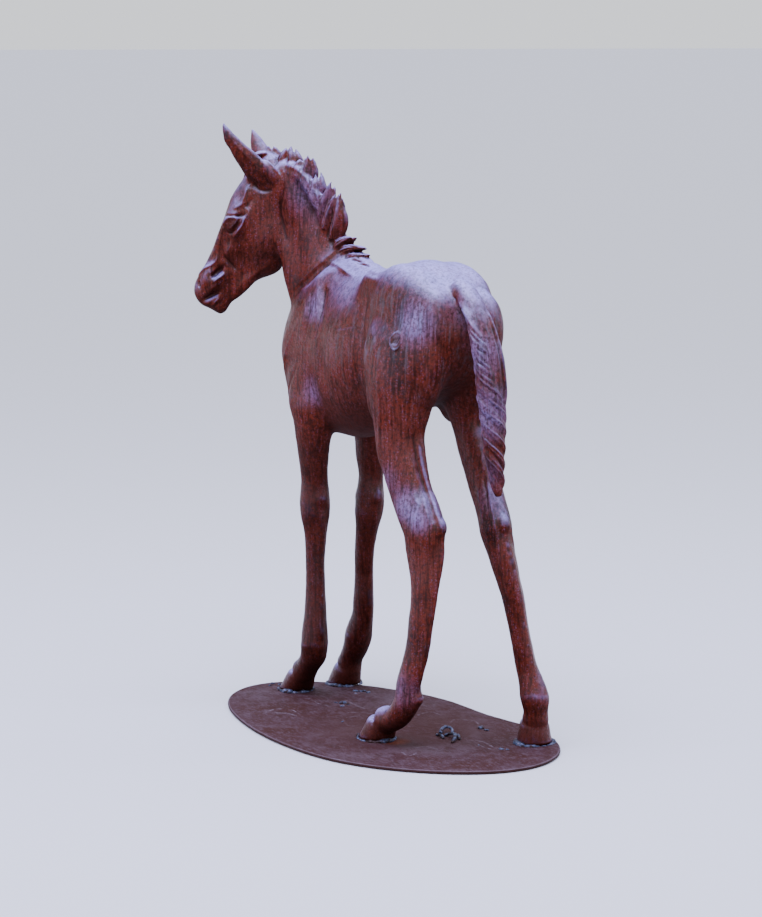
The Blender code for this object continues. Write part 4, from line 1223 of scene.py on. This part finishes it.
def brown_iron_patina(colours, eyes_at):
    """Cast iron under a waxed red-brown oxide.

    Painted highlights turn the edges and what faces up a lavender grey, for the bluish light overhead,
    and painted shade darkens what faces down, the fore limbs, the creases and the eyes; the oxide
    also stays dark in the hollows.
    """
    material, tree, shader = new_material("brown_iron_patina")
    place = add(tree, "TexCoord").outputs["Object"]
    axes = add(tree, "SeparateXYZ", {"Vector": place}).outputs
    facing = add(tree, "SeparateXYZ", {"Vector": add(tree, "NewGeometry").outputs["Normal"]}).outputs
    relief = add(tree, "Attribute", attribute_name="relief").outputs["Fac"]
    form = add(tree, "Attribute", attribute_name="form").outputs["Fac"]
    # Clouds a hand wide, mottling 6 mm across, rain runs 5 mm wide, drips twice that, and pits
    tall = add(tree, "Mapping", {"Vector": place, "Scale": (1.0, 1.0, 0.07)}).outputs["Vector"]
    clouds, mottle, runs, drips, pits = (
        add(tree, "TexNoise", {"Vector": where, "Scale": scale, "Detail": 4.0,
                               "Roughness": 0.62}).outputs["Fac"]
        for where, scale in ((place, 10.0), (place, 150.0), (tall, 150.0), (tall, 75.0),
                             (place, 330.0))
    )
    tone = add(tree, "ValToRGB", {"Fac": clouds},
               [(0.32, colours.shade), (0.50, colours.body), (0.74, colours.bloom)]).outputs["Color"]
    # Dark in the hollows, as oxide and as painted shade in the creases; dark in the pits of the sand
    # mould; and painted shade in the eyes
    hollows = [(colours.under, 0.6, (relief, 0.40, 0.14, 0)),
               (colours.under, 0.5, (form, 0.42, 0.18, 0)),
               (colours.pit, 0.6, (pits, 0.42, 0.30, 0))]
    # Painted highlights: pale lavender spots of reflected light, broken up by the mottling
    painted_highlights = []
    for spot, reach, most in PAINTED_HIGHLIGHTS:
        gap = add(tree, "VectorMath", {0: place, 1: spot}, operation="DISTANCE").outputs["Value"]
        painted_highlights.append((colours.sky, most, (gap, reach, 0.0, 0), (mottle, 0.36, 0.58, 0.35),
                       (runs, 0.40, 0.56, 0.4)))
    # Painted shade on each eye, for the socket around it
    for eye in eyes_at:
        gap = add(tree, "VectorMath", {0: place, 1: eye}, operation="DISTANCE").outputs["Value"]
        hollows.append((colours.under, 0.5, (gap, 0.0165, 0.0125, 0)))
    tone = layered(tree, tone, [
        (colours.rust, 0.55, (mottle, 0.50, 0.64, 0)),
        (colours.shade, 0.7, (mottle, 0.48, 0.36, 0)),
        (colours.shade, 0.7, (runs, 0.47, 0.36, 0)),
        (colours.rust, 0.45, (runs, 0.53, 0.64, 0)),
        # Painted glints: small lavender flecks of reflected light among the pits and runs
        (colours.sky, 0.10, (pits, 0.52, 0.66, 0), (runs, 0.46, 0.60, 0)),
        # Grey drips over the flank and the quarters
        (colours.drip, 0.5, (drips, 0.50, 0.66, 0), (axes["X"], -0.30, 0.05, 0),
         (axes["Z"], 0.62, 0.84, 0)),
        # Painted shade: the fore limbs, in the body's shadow, are darker, and so is what faces down; the
        # hooves are lighter
        (colours.shade, 0.45, (axes["X"], -0.16, -0.24, 0), (axes["Z"], 0.64, 0.54, 0)),
        (colours.bloom, 0.6, (axes["Z"], 0.080, 0.040, 0)),
        (colours.under, 0.8, (facing["Z"], 0.0, -0.75, 0)),
        # Painted highlight: the lavender grey of the bluish light overhead, reflected on what faces up
        # and along the ridges, patchily
        (colours.sky, 0.80, (facing["Z"], 0.28, 1.0, 0), (mottle, 0.34, 0.58, 0.5)),
        (colours.sky, 0.24, (relief, 0.66, 0.96, 0), (facing["Z"], -0.25, 0.45, 0)),
        *painted_highlights,
        *hollows,
    ])
    # The wax keeps its sheen on what faces up, and the underside is dry
    roughness, sheen = (
        add(tree, "MapRange", {"Value": facing["Z"], "From Min": low, "From Max": high,
                               "To Min": under, "To Max": above}).outputs["Result"]
        for low, high, under, above in ((-0.50, 0.25, 0.80, 0.32), (-0.10, 0.42, 0.06, 0.50))
    )
    grain = add(tree, "Bump", {"Height": pits, "Strength": 0.6, "Distance": 0.0014})
    hammer = add(tree, "TexNoise", {"Vector": place, "Scale": 110.0, "Detail": 2.5}).outputs["Fac"]
    worked = add(tree, "Bump", {"Height": hammer, "Strength": 0.5, "Distance": 0.0035,
                                "Normal": grain.outputs["Normal"]})
    feed(tree, shader, {"Base Color": tone, "Metallic": 0.0, "Roughness": roughness,
                        "Specular IOR Level": sheen, "Normal": worked.outputs["Normal"]})
    return material


def weathered_plate(colours):
    """Rolled iron plate left to rust: dull mauve-brown with scuffs, and a dark red-brown edge."""
    material, tree, shader = new_material("weathered_iron_plate")
    place = add(tree, "TexCoord").outputs["Object"]
    axes = add(tree, "SeparateXYZ", {"Vector": place}).outputs
    facing = add(tree, "SeparateXYZ", {"Vector": add(tree, "NewGeometry").outputs["Normal"]}).outputs
    scuffs = add(tree, "Attribute", attribute_name="scuffs").outputs["Fac"]
    long = add(tree, "Mapping", {"Vector": place, "Scale": (0.35, 1.0, 1.0), "Rotation": (0, 0, 0.4)})
    # Blots 25 mm across, clouds 160 mm across, and grain 5 mm across drawn out along the plate
    blots, clouds, grain = (
        add(tree, "TexNoise", {"Vector": where, "Scale": scale, "Detail": detail,
                               "Roughness": rough}).outputs["Fac"]
        for where, scale, detail, rough in ((place, 38.0, 6.0, 0.75), (place, 6.0, 6.0, 0.6),
                                            (long.outputs["Vector"], 210.0, 4.0, 0.7))
    )
    tone = add(tree, "ValToRGB", {"Fac": clouds},
               [(0.36, colours.plate_rust), (0.50, colours.plate), (0.68, colours.plate_grey)])
    layers = [(colours.plate_grey, 0.6, (blots, 0.51, 0.62, 0)),
              (colours.rim, 0.6, (blots, 0.48, 0.38, 0)),
              (colours.plate_grey, 0.8, (grain, 0.50, 0.66, 0)),
              (colours.plate_rust, 0.8, (grain, 0.48, 0.34, 0)),
              (colours.scuff_and_edge_sheen, 0.5, (scuffs, 0.30, 0.95, 0), (grain, 0.40, 0.58, 0))]
    # Fresh orange rust by the left hind hoof, and browner rust over the plate's middle
    for spot, near, far, colour, most in (
        ((0.152, -0.052, PLATE_THICKNESS), 0.008, 0.040, colours.spot, 0.8),
        ((0.060, 0.020, PLATE_THICKNESS), 0.05, 0.30, colours.plate_rust, 0.8),
    ):
        gap = add(tree, "VectorMath", {0: place, 1: spot}, operation="DISTANCE").outputs["Value"]
        layers.append((colour, most, (gap, far, near, 0), (clouds, 0.35, 0.55, 0.4)))
    # The edge is dark red-brown, with a painted highlight along its top corner
    layers += [(colours.scuff_and_edge_sheen, 0.25, (facing["Z"], 0.985, 0.90, 0), (axes["Z"], 0.005, 0.0065, 0)),
               (colours.rim, 0.95, (facing["Z"], 0.72, 0.40, 0))]
    roughness = add(tree, "MapRange", {"Value": clouds, "From Min": 0.3, "From Max": 0.7,
                                       "To Min": 0.80, "To Max": 0.66})
    bumps = add(tree, "Bump", {"Height": grain, "Strength": 0.7, "Distance": 0.0018})
    feed(tree, shader, {"Base Color": layered(tree, tone.outputs["Color"], layers), "Metallic": 0.0,
                        "Roughness": roughness.outputs["Result"], "Specular IOR Level": 0.25,
                        "Normal": bumps.outputs["Normal"]})
    return material


def weld_metal(colours):
    """Weld beads: blue-grey scale over lumpy steel, darker in the hollows."""
    material, tree, shader = new_material("weld_metal")
    place = add(tree, "TexCoord").outputs["Object"]
    clouds = add(tree, "TexNoise", {"Vector": place, "Scale": 60.0, "Detail": 4.0, "Roughness": 0.6})
    tone = add(tree, "ValToRGB", {"Fac": clouds.outputs["Fac"]},
               [(0.42, colours.shade), (0.55, colours.weld), (0.74, colours.scuff_and_edge_sheen)])
    relief = add(tree, "Attribute", attribute_name="relief").outputs["Fac"]
    tone = layered(tree, tone.outputs["Color"], [(colours.pit, 0.9, (relief, 0.56, 0.36, 0))])
    bumps = add(tree, "Bump", {"Height": clouds.outputs["Fac"], "Strength": 0.4, "Distance": 0.002})
    feed(tree, shader, {"Base Color": tone, "Metallic": 0.5, "Roughness": 0.42,
                        "Normal": bumps.outputs["Normal"]})
    return material


def finished(mesh, name, slot, material, *nodes):
    """Puts a mesh in the scene as a finished piece that stands for CAD nodes."""
    mesh.name = name
    mesh.materials.clear()
    mesh.materials.append(material)
    mesh.shade_smooth()
    piece = bpy.data.objects.new(name, mesh)
    bpy.context.scene.collection.objects.link(piece)
    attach(piece, "root")
    if nodes:
        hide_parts(*nodes)


def thinned(mesh, most):
    """The mesh with its flattest faces merged until no more than this many triangles are left."""
    triangles = sum(len(p.vertices) - 2 for p in mesh.polygons)
    if triangles <= most:
        return mesh
    return evaluated(mesh, "DECIMATE", ratio=most / triangles, use_collapse_triangulate=True)


def place_of_foal(lift):
    """The move from the foal's units to the row, with its hooves at a height over the floor."""
    middle_x, middle_y = plate_middle()
    return Matrix.Translation((SPINE_X * UNIT - middle_x, SPINE_Y * UNIT - middle_y, lift)) \
        @ Matrix.Scale(UNIT, 4)


def plate_edge(sides=72):
    """The plate's hand-cut edge: an oval that swells and flattens a little as it goes."""
    half_length = PLATE_END_MARGIN + UNIT * STANCE_HALF_LENGTH
    half_width = PLATE_SIDE_MARGIN + UNIT * STANCE_HALF_WIDTH
    points = []
    for k in range(sides):
        a = 2 * math.pi * k / sides
        turned = a - math.radians(PLATE_TURN)
        reach = 1 / math.hypot(math.cos(turned) / half_length, math.sin(turned) / half_width)
        reach *= 1 + sum(swell * math.cos(order * a - math.radians(lag))
                         for order, swell, lag in PLATE_SWELLS)
        points.append((reach * math.cos(a), reach * math.sin(a)))
    return np.array(points)


def plate_middle():
    """The middle of the box around the plate's edge, before the plate is centred."""
    points = plate_edge()
    return (points.min(axis=0) + points.max(axis=0)) / 2


def length_property(name, default, least, description):
    """A length that the panel shows, of a centimetre at most."""
    return bpy.props.FloatProperty(name=name, default=default, min=least, max=0.01,
                                   description=description, subtype="DISTANCE", unit="LENGTH")


class FoalSizes(bpy.types.PropertyGroup):
    """Sizes of the finish, in metres."""
    detail: length_property("Casting detail", 0.0024, 0.0015, "The casting's smallest modelled feature")
    plate_detail: length_property("Plate detail", 0.0028, 0.002, "The plate's smallest modelled feature")
    bead: length_property("Weld bead", 0.0058, 0.002, "Half the width of a weld bead around a hoof")


def colour_property(name, default, description):
    """A colour that the panel shows."""
    return bpy.props.StringProperty(name=name, default=default, description=description, maxlen=7)


class FoalColours(bpy.types.PropertyGroup):
    """Colours of the patina and the plate, as sRGB hex values."""
    # Also the painted shade of the fore limbs
    shade: colour_property("Dark patina", "#2a0e08", "Thick oxide in shade and in dark streaks")
    body: colour_property("Patina", "#582013", "The red-brown of most of the casting")
    bloom: colour_property("Light patina", "#552a23", "Where the patina has gone cloudy")
    rust: colour_property("Rust", "#702817", "Mottling and rain streaks of fresher rust")
    drip: colour_property("Drip", "#45474d", "Grey drips over the flank and the quarters")
    # Painted light: the lavender-grey reflection of the light overhead, laid on what faces up, on
    # ridges, in flecks and in spots
    sky: colour_property("Painted sky sheen", "#aea6ee", "The lavender grey of edges and of what faces up")
    # Oxide in the hollows, and painted shade on what faces down, in the creases and on the eyes
    under: colour_property("Underneath", "#260e09", "Oxide in hollows and on what faces down")
    pit: colour_property("Pit", "#0e0403", "The bottoms of pits, and the eyes")
    plate: colour_property("Plate", "#3f1f24", "The plate's mauve-brown")
    plate_rust: colour_property("Plate rust", "#3c160f", "Browner rust on the plate")
    plate_grey: colour_property("Plate wear", "#564149", "Worn grey patches")
    # Real scuffs and ground arcs, and the painted highlight along the plate's top corner
    scuff_and_edge_sheen: colour_property("Scuff", "#8d808c", "Ground arcs, scuffs and the worn corner of the edge")
    rim: colour_property("Plate edge", "#300d05", "The plate's cut edge")
    spot: colour_property("Rust spot", "#a04a20", "Fresh orange rust by a hoof")
    weld: colour_property("Weld", "#4a5470", "Blue-grey scale on the weld beads")


# The reliefs that the patina and the weld metal read: rounds of smoothing, and height in metres
CASTING_RELIEFS = (("relief", 8, 0.0014), ("form", 70, 0.0070))
WELD_RELIEF = ("relief", 6, 0.0012)
CASTING_TRIANGLES, PLATE_TRIANGLES, WELD_TRIANGLES = 190000, 150000, 80000


class FOAL_OT_casting(bpy.types.Operator):
    """Models the foal, one casting from ears to hooves"""
    bl_idname = "foal.casting"
    bl_label = "Foal casting"

    def execute(self, context):
        mesh = casting_mesh(context.scene.foal_sizes.detail / UNIT)
        mesh = thinned(mesh, CASTING_TRIANGLES)
        place = place_of_foal(PLATE_THICKNESS + HOOF_CLEARANCE)
        mesh.transform(place)
        for name, rounds, height in CASTING_RELIEFS:
            keep_relief(mesh, name, rounds, height)
        eyes_at = [place @ on_head(EYE[0], EYE[1], -side * (EYE[2] + EYE_BULGE))
                   for side in (LEFT, RIGHT)]
        finished(mesh, "foal_casting", "patinated_cast_iron",
                 brown_iron_patina(context.scene.foal_colours, eyes_at), "foal")
        return {"FINISHED"}


# Ground arcs and scuffs on the plate, in metres
SCUFFS = (
    ((-0.073, -0.049), (-0.030, -0.066), (-0.008, -0.064), (-0.017, -0.025)),
    ((-0.082, -0.036), (-0.083, -0.011), (-0.083, 0.008)),
    ((0.073, 0.130), (0.053, 0.149), (0.057, 0.161), (0.074, 0.176), (0.092, 0.183),
     (0.134, 0.162)),
    ((0.239, -0.088), (0.264, -0.093), (0.273, -0.085), (0.260, -0.067)),
    ((0.226, -0.059), (0.222, -0.025), (0.253, -0.013)),
    ((0.224, 0.089), (0.250, 0.100), (0.297, 0.096), (0.323, 0.107)),
    ((0.262, 0.080), (0.290, 0.078), (0.318, 0.086)),
    ((-0.213, -0.160), (-0.227, -0.128), (-0.208, -0.104), (-0.180, -0.104)),
    ((-0.200, -0.150), (-0.180, -0.128), (-0.150, -0.120)),
    ((-0.284, -0.015), (-0.231, -0.022), (-0.195, -0.017)),
    ((-0.136, 0.067), (-0.100, 0.071), (-0.125, 0.103)),
    ((-0.227, 0.044), (-0.164, 0.038), (-0.106, 0.042)),
    ((-0.024, 0.108), (-0.035, 0.145), (0.001, 0.151)),
    ((-0.120, -0.010), (-0.100, 0.020), (-0.060, 0.030)),
    ((0.060, 0.100), (0.090, 0.112), (0.120, 0.104)),
)
SCUFF_REACH, SCUFF_HEIGHT = 0.0032, 0.0006
# The plate's waves: their height, how far they sink it, and how many to the metre
WAVE_HEIGHT, WAVE_SINK = 0.0007, 0.0003
WAVES, RIPPLES = 9, 31
PLATE_CORNERS, RIM_SEGMENTS = 180, 3


def keep_scuffs(mesh, lines):
    """Keeps on the mesh how near each point is to a scuff, from 0 to 1."""
    points = Skin(mesh).points
    near = np.zeros(len(points))
    for line in lines:
        for spot in curve_through(line, 12):
            gap = np.linalg.norm(points - spot, axis=1)
            near = np.maximum(near, np.exp(-(gap / SCUFF_REACH) ** 2))
    keep(mesh, "scuffs", near)


class FOAL_OT_plate(bpy.types.Operator):
    """Models the oval plate, a little wavy, with its rim and its marks"""
    bl_idname = "foal.plate"
    bl_label = "Oval plate"

    def execute(self, context):
        bpy.ops.object.select_all(action="DESELECT")
        bpy.ops.mesh.primitive_circle_add(vertices=PLATE_CORNERS, radius=1, fill_type="NGON")
        blank = context.object
        for vertex, (x, y) in zip(blank.data.vertices, plate_edge(PLATE_CORNERS) - plate_middle()):
            vertex.co = (x, y, 0)
        bpy.ops.object.mode_set(mode="EDIT")
        bpy.ops.mesh.select_all(action="SELECT")
        bpy.ops.mesh.extrude_region_move(TRANSFORM_OT_translate={"value": (0, 0, PLATE_THICKNESS)})
        bpy.ops.mesh.select_all(action="SELECT")
        bpy.ops.mesh.normals_make_consistent(inside=False)
        bpy.ops.object.mode_set(mode="OBJECT")
        bevel = blank.modifiers.new("rim", "BEVEL")
        bevel.width = PLATE_RIM_ROUND
        bevel.segments = RIM_SEGMENTS
        bpy.ops.object.modifier_apply(modifier="rim")
        remesh = blank.modifiers.new("grain", "REMESH")
        remesh.mode = "VOXEL"
        remesh.voxel_size = context.scene.foal_sizes.plate_detail
        bpy.ops.object.modifier_apply(modifier="grain")
        skin = Skin(blank.data)
        skin.smooth(1)
        on_top = np.clip(skin.points[:, 2] / PLATE_THICKNESS, 0, 1)
        waves = np.array([noise.noise(Vector(point) * WAVES) + 0.5 * noise.noise(Vector(point) * RIPPLES)
                          for point in skin.points])
        skin.points[:, 2] += on_top * (waves * WAVE_HEIGHT - WAVE_SINK)
        skin.write()
        lines = [[(x, y, PLATE_THICKNESS) for x, y in path] for path in SCUFFS]
        skin.press([(SCUFF_REACH, SCUFF_HEIGHT, line) for line in lines])
        skin.points[:, 2] = np.maximum(skin.points[:, 2], 0)
        skin.write()
        mesh = thinned(skin.mesh, PLATE_TRIANGLES)
        keep_scuffs(mesh, lines)
        finished(mesh, "oval_plate", "weathered_iron_plate",
                 weathered_plate(context.scene.foal_colours), "base_plate")
        bpy.data.objects.remove(blank)
        return {"FINISHED"}


# Lumps of spatter on the plate: x, y and size, in metres
SPATTER = (
    (-0.202, 0.022, 0.008), (-0.186, 0.030, 0.006), (-0.214, 0.012, 0.004), (-0.178, 0.010, 0.005),
    (0.151, 0.158, 0.008), (0.140, 0.168, 0.006), (0.165, 0.162, 0.005),
    (-0.434, -0.032, 0.005), (-0.448, -0.016, 0.006), (-0.436, -0.008, 0.005),
    (-0.292, 0.104, 0.006), (-0.280, 0.118, 0.007), (-0.264, 0.124, 0.005), (-0.270, 0.096, 0.004),
    (0.320, 0.100, 0.005), (0.330, 0.108, 0.004), (0.268, 0.078, 0.003), (-0.052, -0.062, 0.003),
)
# Curls of weld metal left standing on the plate, in millimetres: x, y, height, half thickness
CURLS = (
    ((146, 60, 4, 4.0), (138, 70, 10, 4.5), (136, 82, 13, 4.0), (150, 86, 10, 3.5), (164, 78, 4, 3.0)),
    ((164, 60, 3, 4.0), (180, 66, 9, 4.5), (200, 62, 12, 4.5), (216, 52, 9, 4.0), (228, 38, 3, 3.0)),
    ((172, 84, 3, 3.0), (192, 76, 7, 3.5), (212, 66, 4, 3.0)),
    ((150, 48, 3, 3.0), (170, 48, 6, 3.5), (186, 44, 3, 3.0)),
)
# Around each hoof: blobs in its bead, and how far outside it they lie, in the foal's units
BEAD_BLOBS, BEAD_REACH = 46, 3
# In metres: the smallest blob, the smallest feature, and how far the beads go into the plate
LEAST_BLOB, WELD_DETAIL, WELD_DEPTH = 0.002, 0.0014, 0.0035


def bead_blobs(bm, size):
    """Overlapping blobs around each hoof, and the lumps of spatter."""
    chance = random.Random(7)
    place = place_of_foal(PLATE_THICKNESS)

    def blob(x, y, height, grow, flat):
        ball(bm, Matrix.Translation((x, y, height)) @ Matrix.Diagonal((grow, grow, grow * flat, 1)),
             12, 8)

    for x, y, toe, _ in HOOVES.values():
        ahead = heading(toe)
        across = ahead.cross(UP)
        for k in range(BEAD_BLOBS):
            a = 2 * math.pi * k / BEAD_BLOBS + chance.uniform(-0.05, 0.05)
            long = math.cos(a)
            reach = HOOF_HALF_LENGTH * (long if long > 0 else long * HEEL_SHARE) + BEAD_REACH * long
            spot = place @ (Vector((x, y, 0)) + ahead * reach
                            + across * ((HOOF_HALF_WIDTH + BEAD_REACH) * math.sin(a)))
            grow = size * chance.uniform(0.55, 1.2) * (1 + 0.5 * math.sin(2 * a + 9 * x))
            blob(spot.x, spot.y, PLATE_THICKNESS + chance.uniform(-0.0006, 0.0008),
                 max(grow, LEAST_BLOB), 0.8)
    for x, y, spread in SPATTER:
        for _ in range(3):
            grow = spread * chance.uniform(0.4, 0.8)
            blob(x + chance.uniform(-0.7, 0.7) * spread, y + chance.uniform(-0.7, 0.7) * spread,
                 PLATE_THICKNESS, grow, 0.9)


def curls(bm):
    """The curls of weld metal, in millimetres over the plate."""
    for curl in CURLS:
        tube(bm, [(x, y, high - 2, half * 0.8, half) for x, y, high, half in curl], UP,
             sides=10, steps=5)


class FOAL_OT_welds(bpy.types.Operator):
    """Models the weld beads around the hooves, and the spatter and curls on the plate"""
    bl_idname = "foal.welds"
    bl_label = "Weld beads"

    def execute(self, context):
        beads = mesh_of(lambda bm: bead_blobs(bm, context.scene.foal_sizes.bead), "beads")
        standing = mesh_of(curls, "curls")
        standing.transform(Matrix.Translation((0, 0, PLATE_THICKNESS)) @ Matrix.Scale(0.001, 4))
        skin = Skin(welded(joined(beads, standing), WELD_DETAIL))
        skin.smooth(1)
        skin.points[:, 2] = np.maximum(skin.points[:, 2], PLATE_THICKNESS - WELD_DEPTH)
        skin.write()
        mesh = thinned(skin.mesh, WELD_TRIANGLES)
        keep_relief(mesh, *WELD_RELIEF)
        finished(mesh, "weld_beads", "weathered_iron_plate", weld_metal(context.scene.foal_colours))
        return {"FINISHED"}


class FOAL_OT_stage(bpy.types.Operator):
    """Sets the pale floor, the soft lights and the camera"""
    bl_idname = "foal.stage"
    bl_label = "Stage"

    def execute(self, context):
        scene = context.scene
        bpy.ops.object.select_all(action="DESELECT")
        bpy.ops.mesh.primitive_plane_add(size=FLOOR_SIZE, location=(0, 0, -FLOOR_GAP))
        floor = context.object
        floor.name = "pale_floor"
        paint, tree, shader = new_material("pale_floor_paint")
        feed(tree, shader, {"Base Color": linear(FLOOR_PAINT), "Roughness": 0.9})
        floor.data.materials.append(paint)
        world = bpy.data.worlds.new("studio")
        world.use_nodes = True
        tree = world.node_tree
        sky = add(tree, "SeparateXYZ", {"Vector": add(tree, "TexCoord").outputs["Generated"]})
        glow = add(tree, "ValToRGB", {"Fac": sky.outputs["Z"]}, SKY)
        feed(tree, tree.nodes["Background"],
             {"Color": glow.outputs["Color"], "Strength": SKY_STRENGTH})
        scene.world = world
        for name, spot, aim, size, power, colour in LIGHTS:
            bpy.ops.object.light_add(type="AREA", location=spot)
            lamp = context.object
            lamp.name = name
            lamp.data.size = size
            lamp.data.energy = power
            lamp.data.color = linear(colour)[:3]
            lamp.rotation_euler = (Vector(aim) - Vector(spot)).to_track_quat("-Z", "Y").to_euler()
        camera = bpy.data.cameras.new("camera")
        camera.sensor_fit = "HORIZONTAL"
        camera.sensor_width = SENSOR_WIDTH
        camera.lens = CAMERA_FOCAL
        camera.clip_end = 1000
        holder = bpy.data.objects.new("camera", camera)
        scene.collection.objects.link(holder)
        turn, drop = math.radians(CAMERA_TURN), math.radians(CAMERA_DROP)
        look = Vector((-math.cos(turn) * math.cos(drop), math.sin(turn) * math.cos(drop),
                       -math.sin(drop)))
        holder.location = CAMERA_PLACE
        holder.rotation_euler = look.to_track_quat("-Z", "Y").to_euler()
        scene.camera = holder
        return {"FINISHED"}


# Where the photograph was taken from, and the studio's soft lights
CAMERA_PLACE = (5.1747, -3.0166, 1.438)
CAMERA_TURN, CAMERA_DROP = 30.26, 8.2117
SENSOR_WIDTH = 36
PICTURE_WIDTH, FOCAL_PIXELS = 762, 2900
CAMERA_FOCAL = SENSOR_WIDTH * FOCAL_PIXELS / PICTURE_WIDTH
FLOOR_SIZE, FLOOR_GAP, FLOOR_PAINT = 800, 0.0005, "#e2e2e5"
# Each light: its name, place, aim, size, power and colour
LIGHTS = (
    ("overhead", (0.4, -0.5, 4.2), (0.0, 0.0, 0.6), 3.0, 240, "#c4caff"),
    ("left", (-1.5, -4.8, 1.9), (0.0, 0.0, 0.75), 1.1, 70, "#c6c9ff"),
    ("right", (2.2, 4.2, 2.8), (0.1, 0.0, 0.7), 1.8, 60, "#c9d0ff"),
    ("front", (4.6, -4.4, 3.0), (0.0, 0.0, 0.6), 2.4, 45, "#fff0e6"),
)
# The studio's glow from the level up: dim at the sides, and bright and bluish overhead
SKY = [(0.0, "#b9bbc0"), (0.03, "#b9bbc0"), (0.07, "#50535b"), (0.40, "#666b78"), (0.72, "#dfe3f6"),
       (1.0, "#e9ecff")]
SKY_STRENGTH = 2.3


class FOAL_PT_panel(bpy.types.Panel):
    """The sizes and colours, and a button for each group of pieces"""
    bl_label = "Cast Iron Foal"
    bl_idname = "FOAL_PT_panel"
    bl_space_type = "VIEW_3D"
    bl_region_type = "UI"
    bl_category = "Foal"

    def draw(self, context):
        for group in (context.scene.foal_sizes, context.scene.foal_colours):
            for name in group.__annotations__:
                self.layout.prop(group, name)
        for operator in OPERATORS:
            self.layout.operator(operator.bl_idname)


OPERATORS = (FOAL_OT_stage, FOAL_OT_plate, FOAL_OT_welds, FOAL_OT_casting)
CLASSES = (FoalSizes, FoalColours, *OPERATORS, FOAL_PT_panel)


def register():
    for made in CLASSES:
        bpy.utils.register_class(made)
    bpy.types.Scene.foal_sizes = bpy.props.PointerProperty(type=FoalSizes)
    bpy.types.Scene.foal_colours = bpy.props.PointerProperty(type=FoalColours)


def unregister():
    del bpy.types.Scene.foal_colours
    del bpy.types.Scene.foal_sizes
    for made in reversed(CLASSES):
        bpy.utils.unregister_class(made)


def main():
    register()
    bpy.ops.foal.stage()
    bpy.ops.foal.plate()
    bpy.ops.foal.welds()
    bpy.ops.foal.casting()


if __name__ == "__main__":
    main()
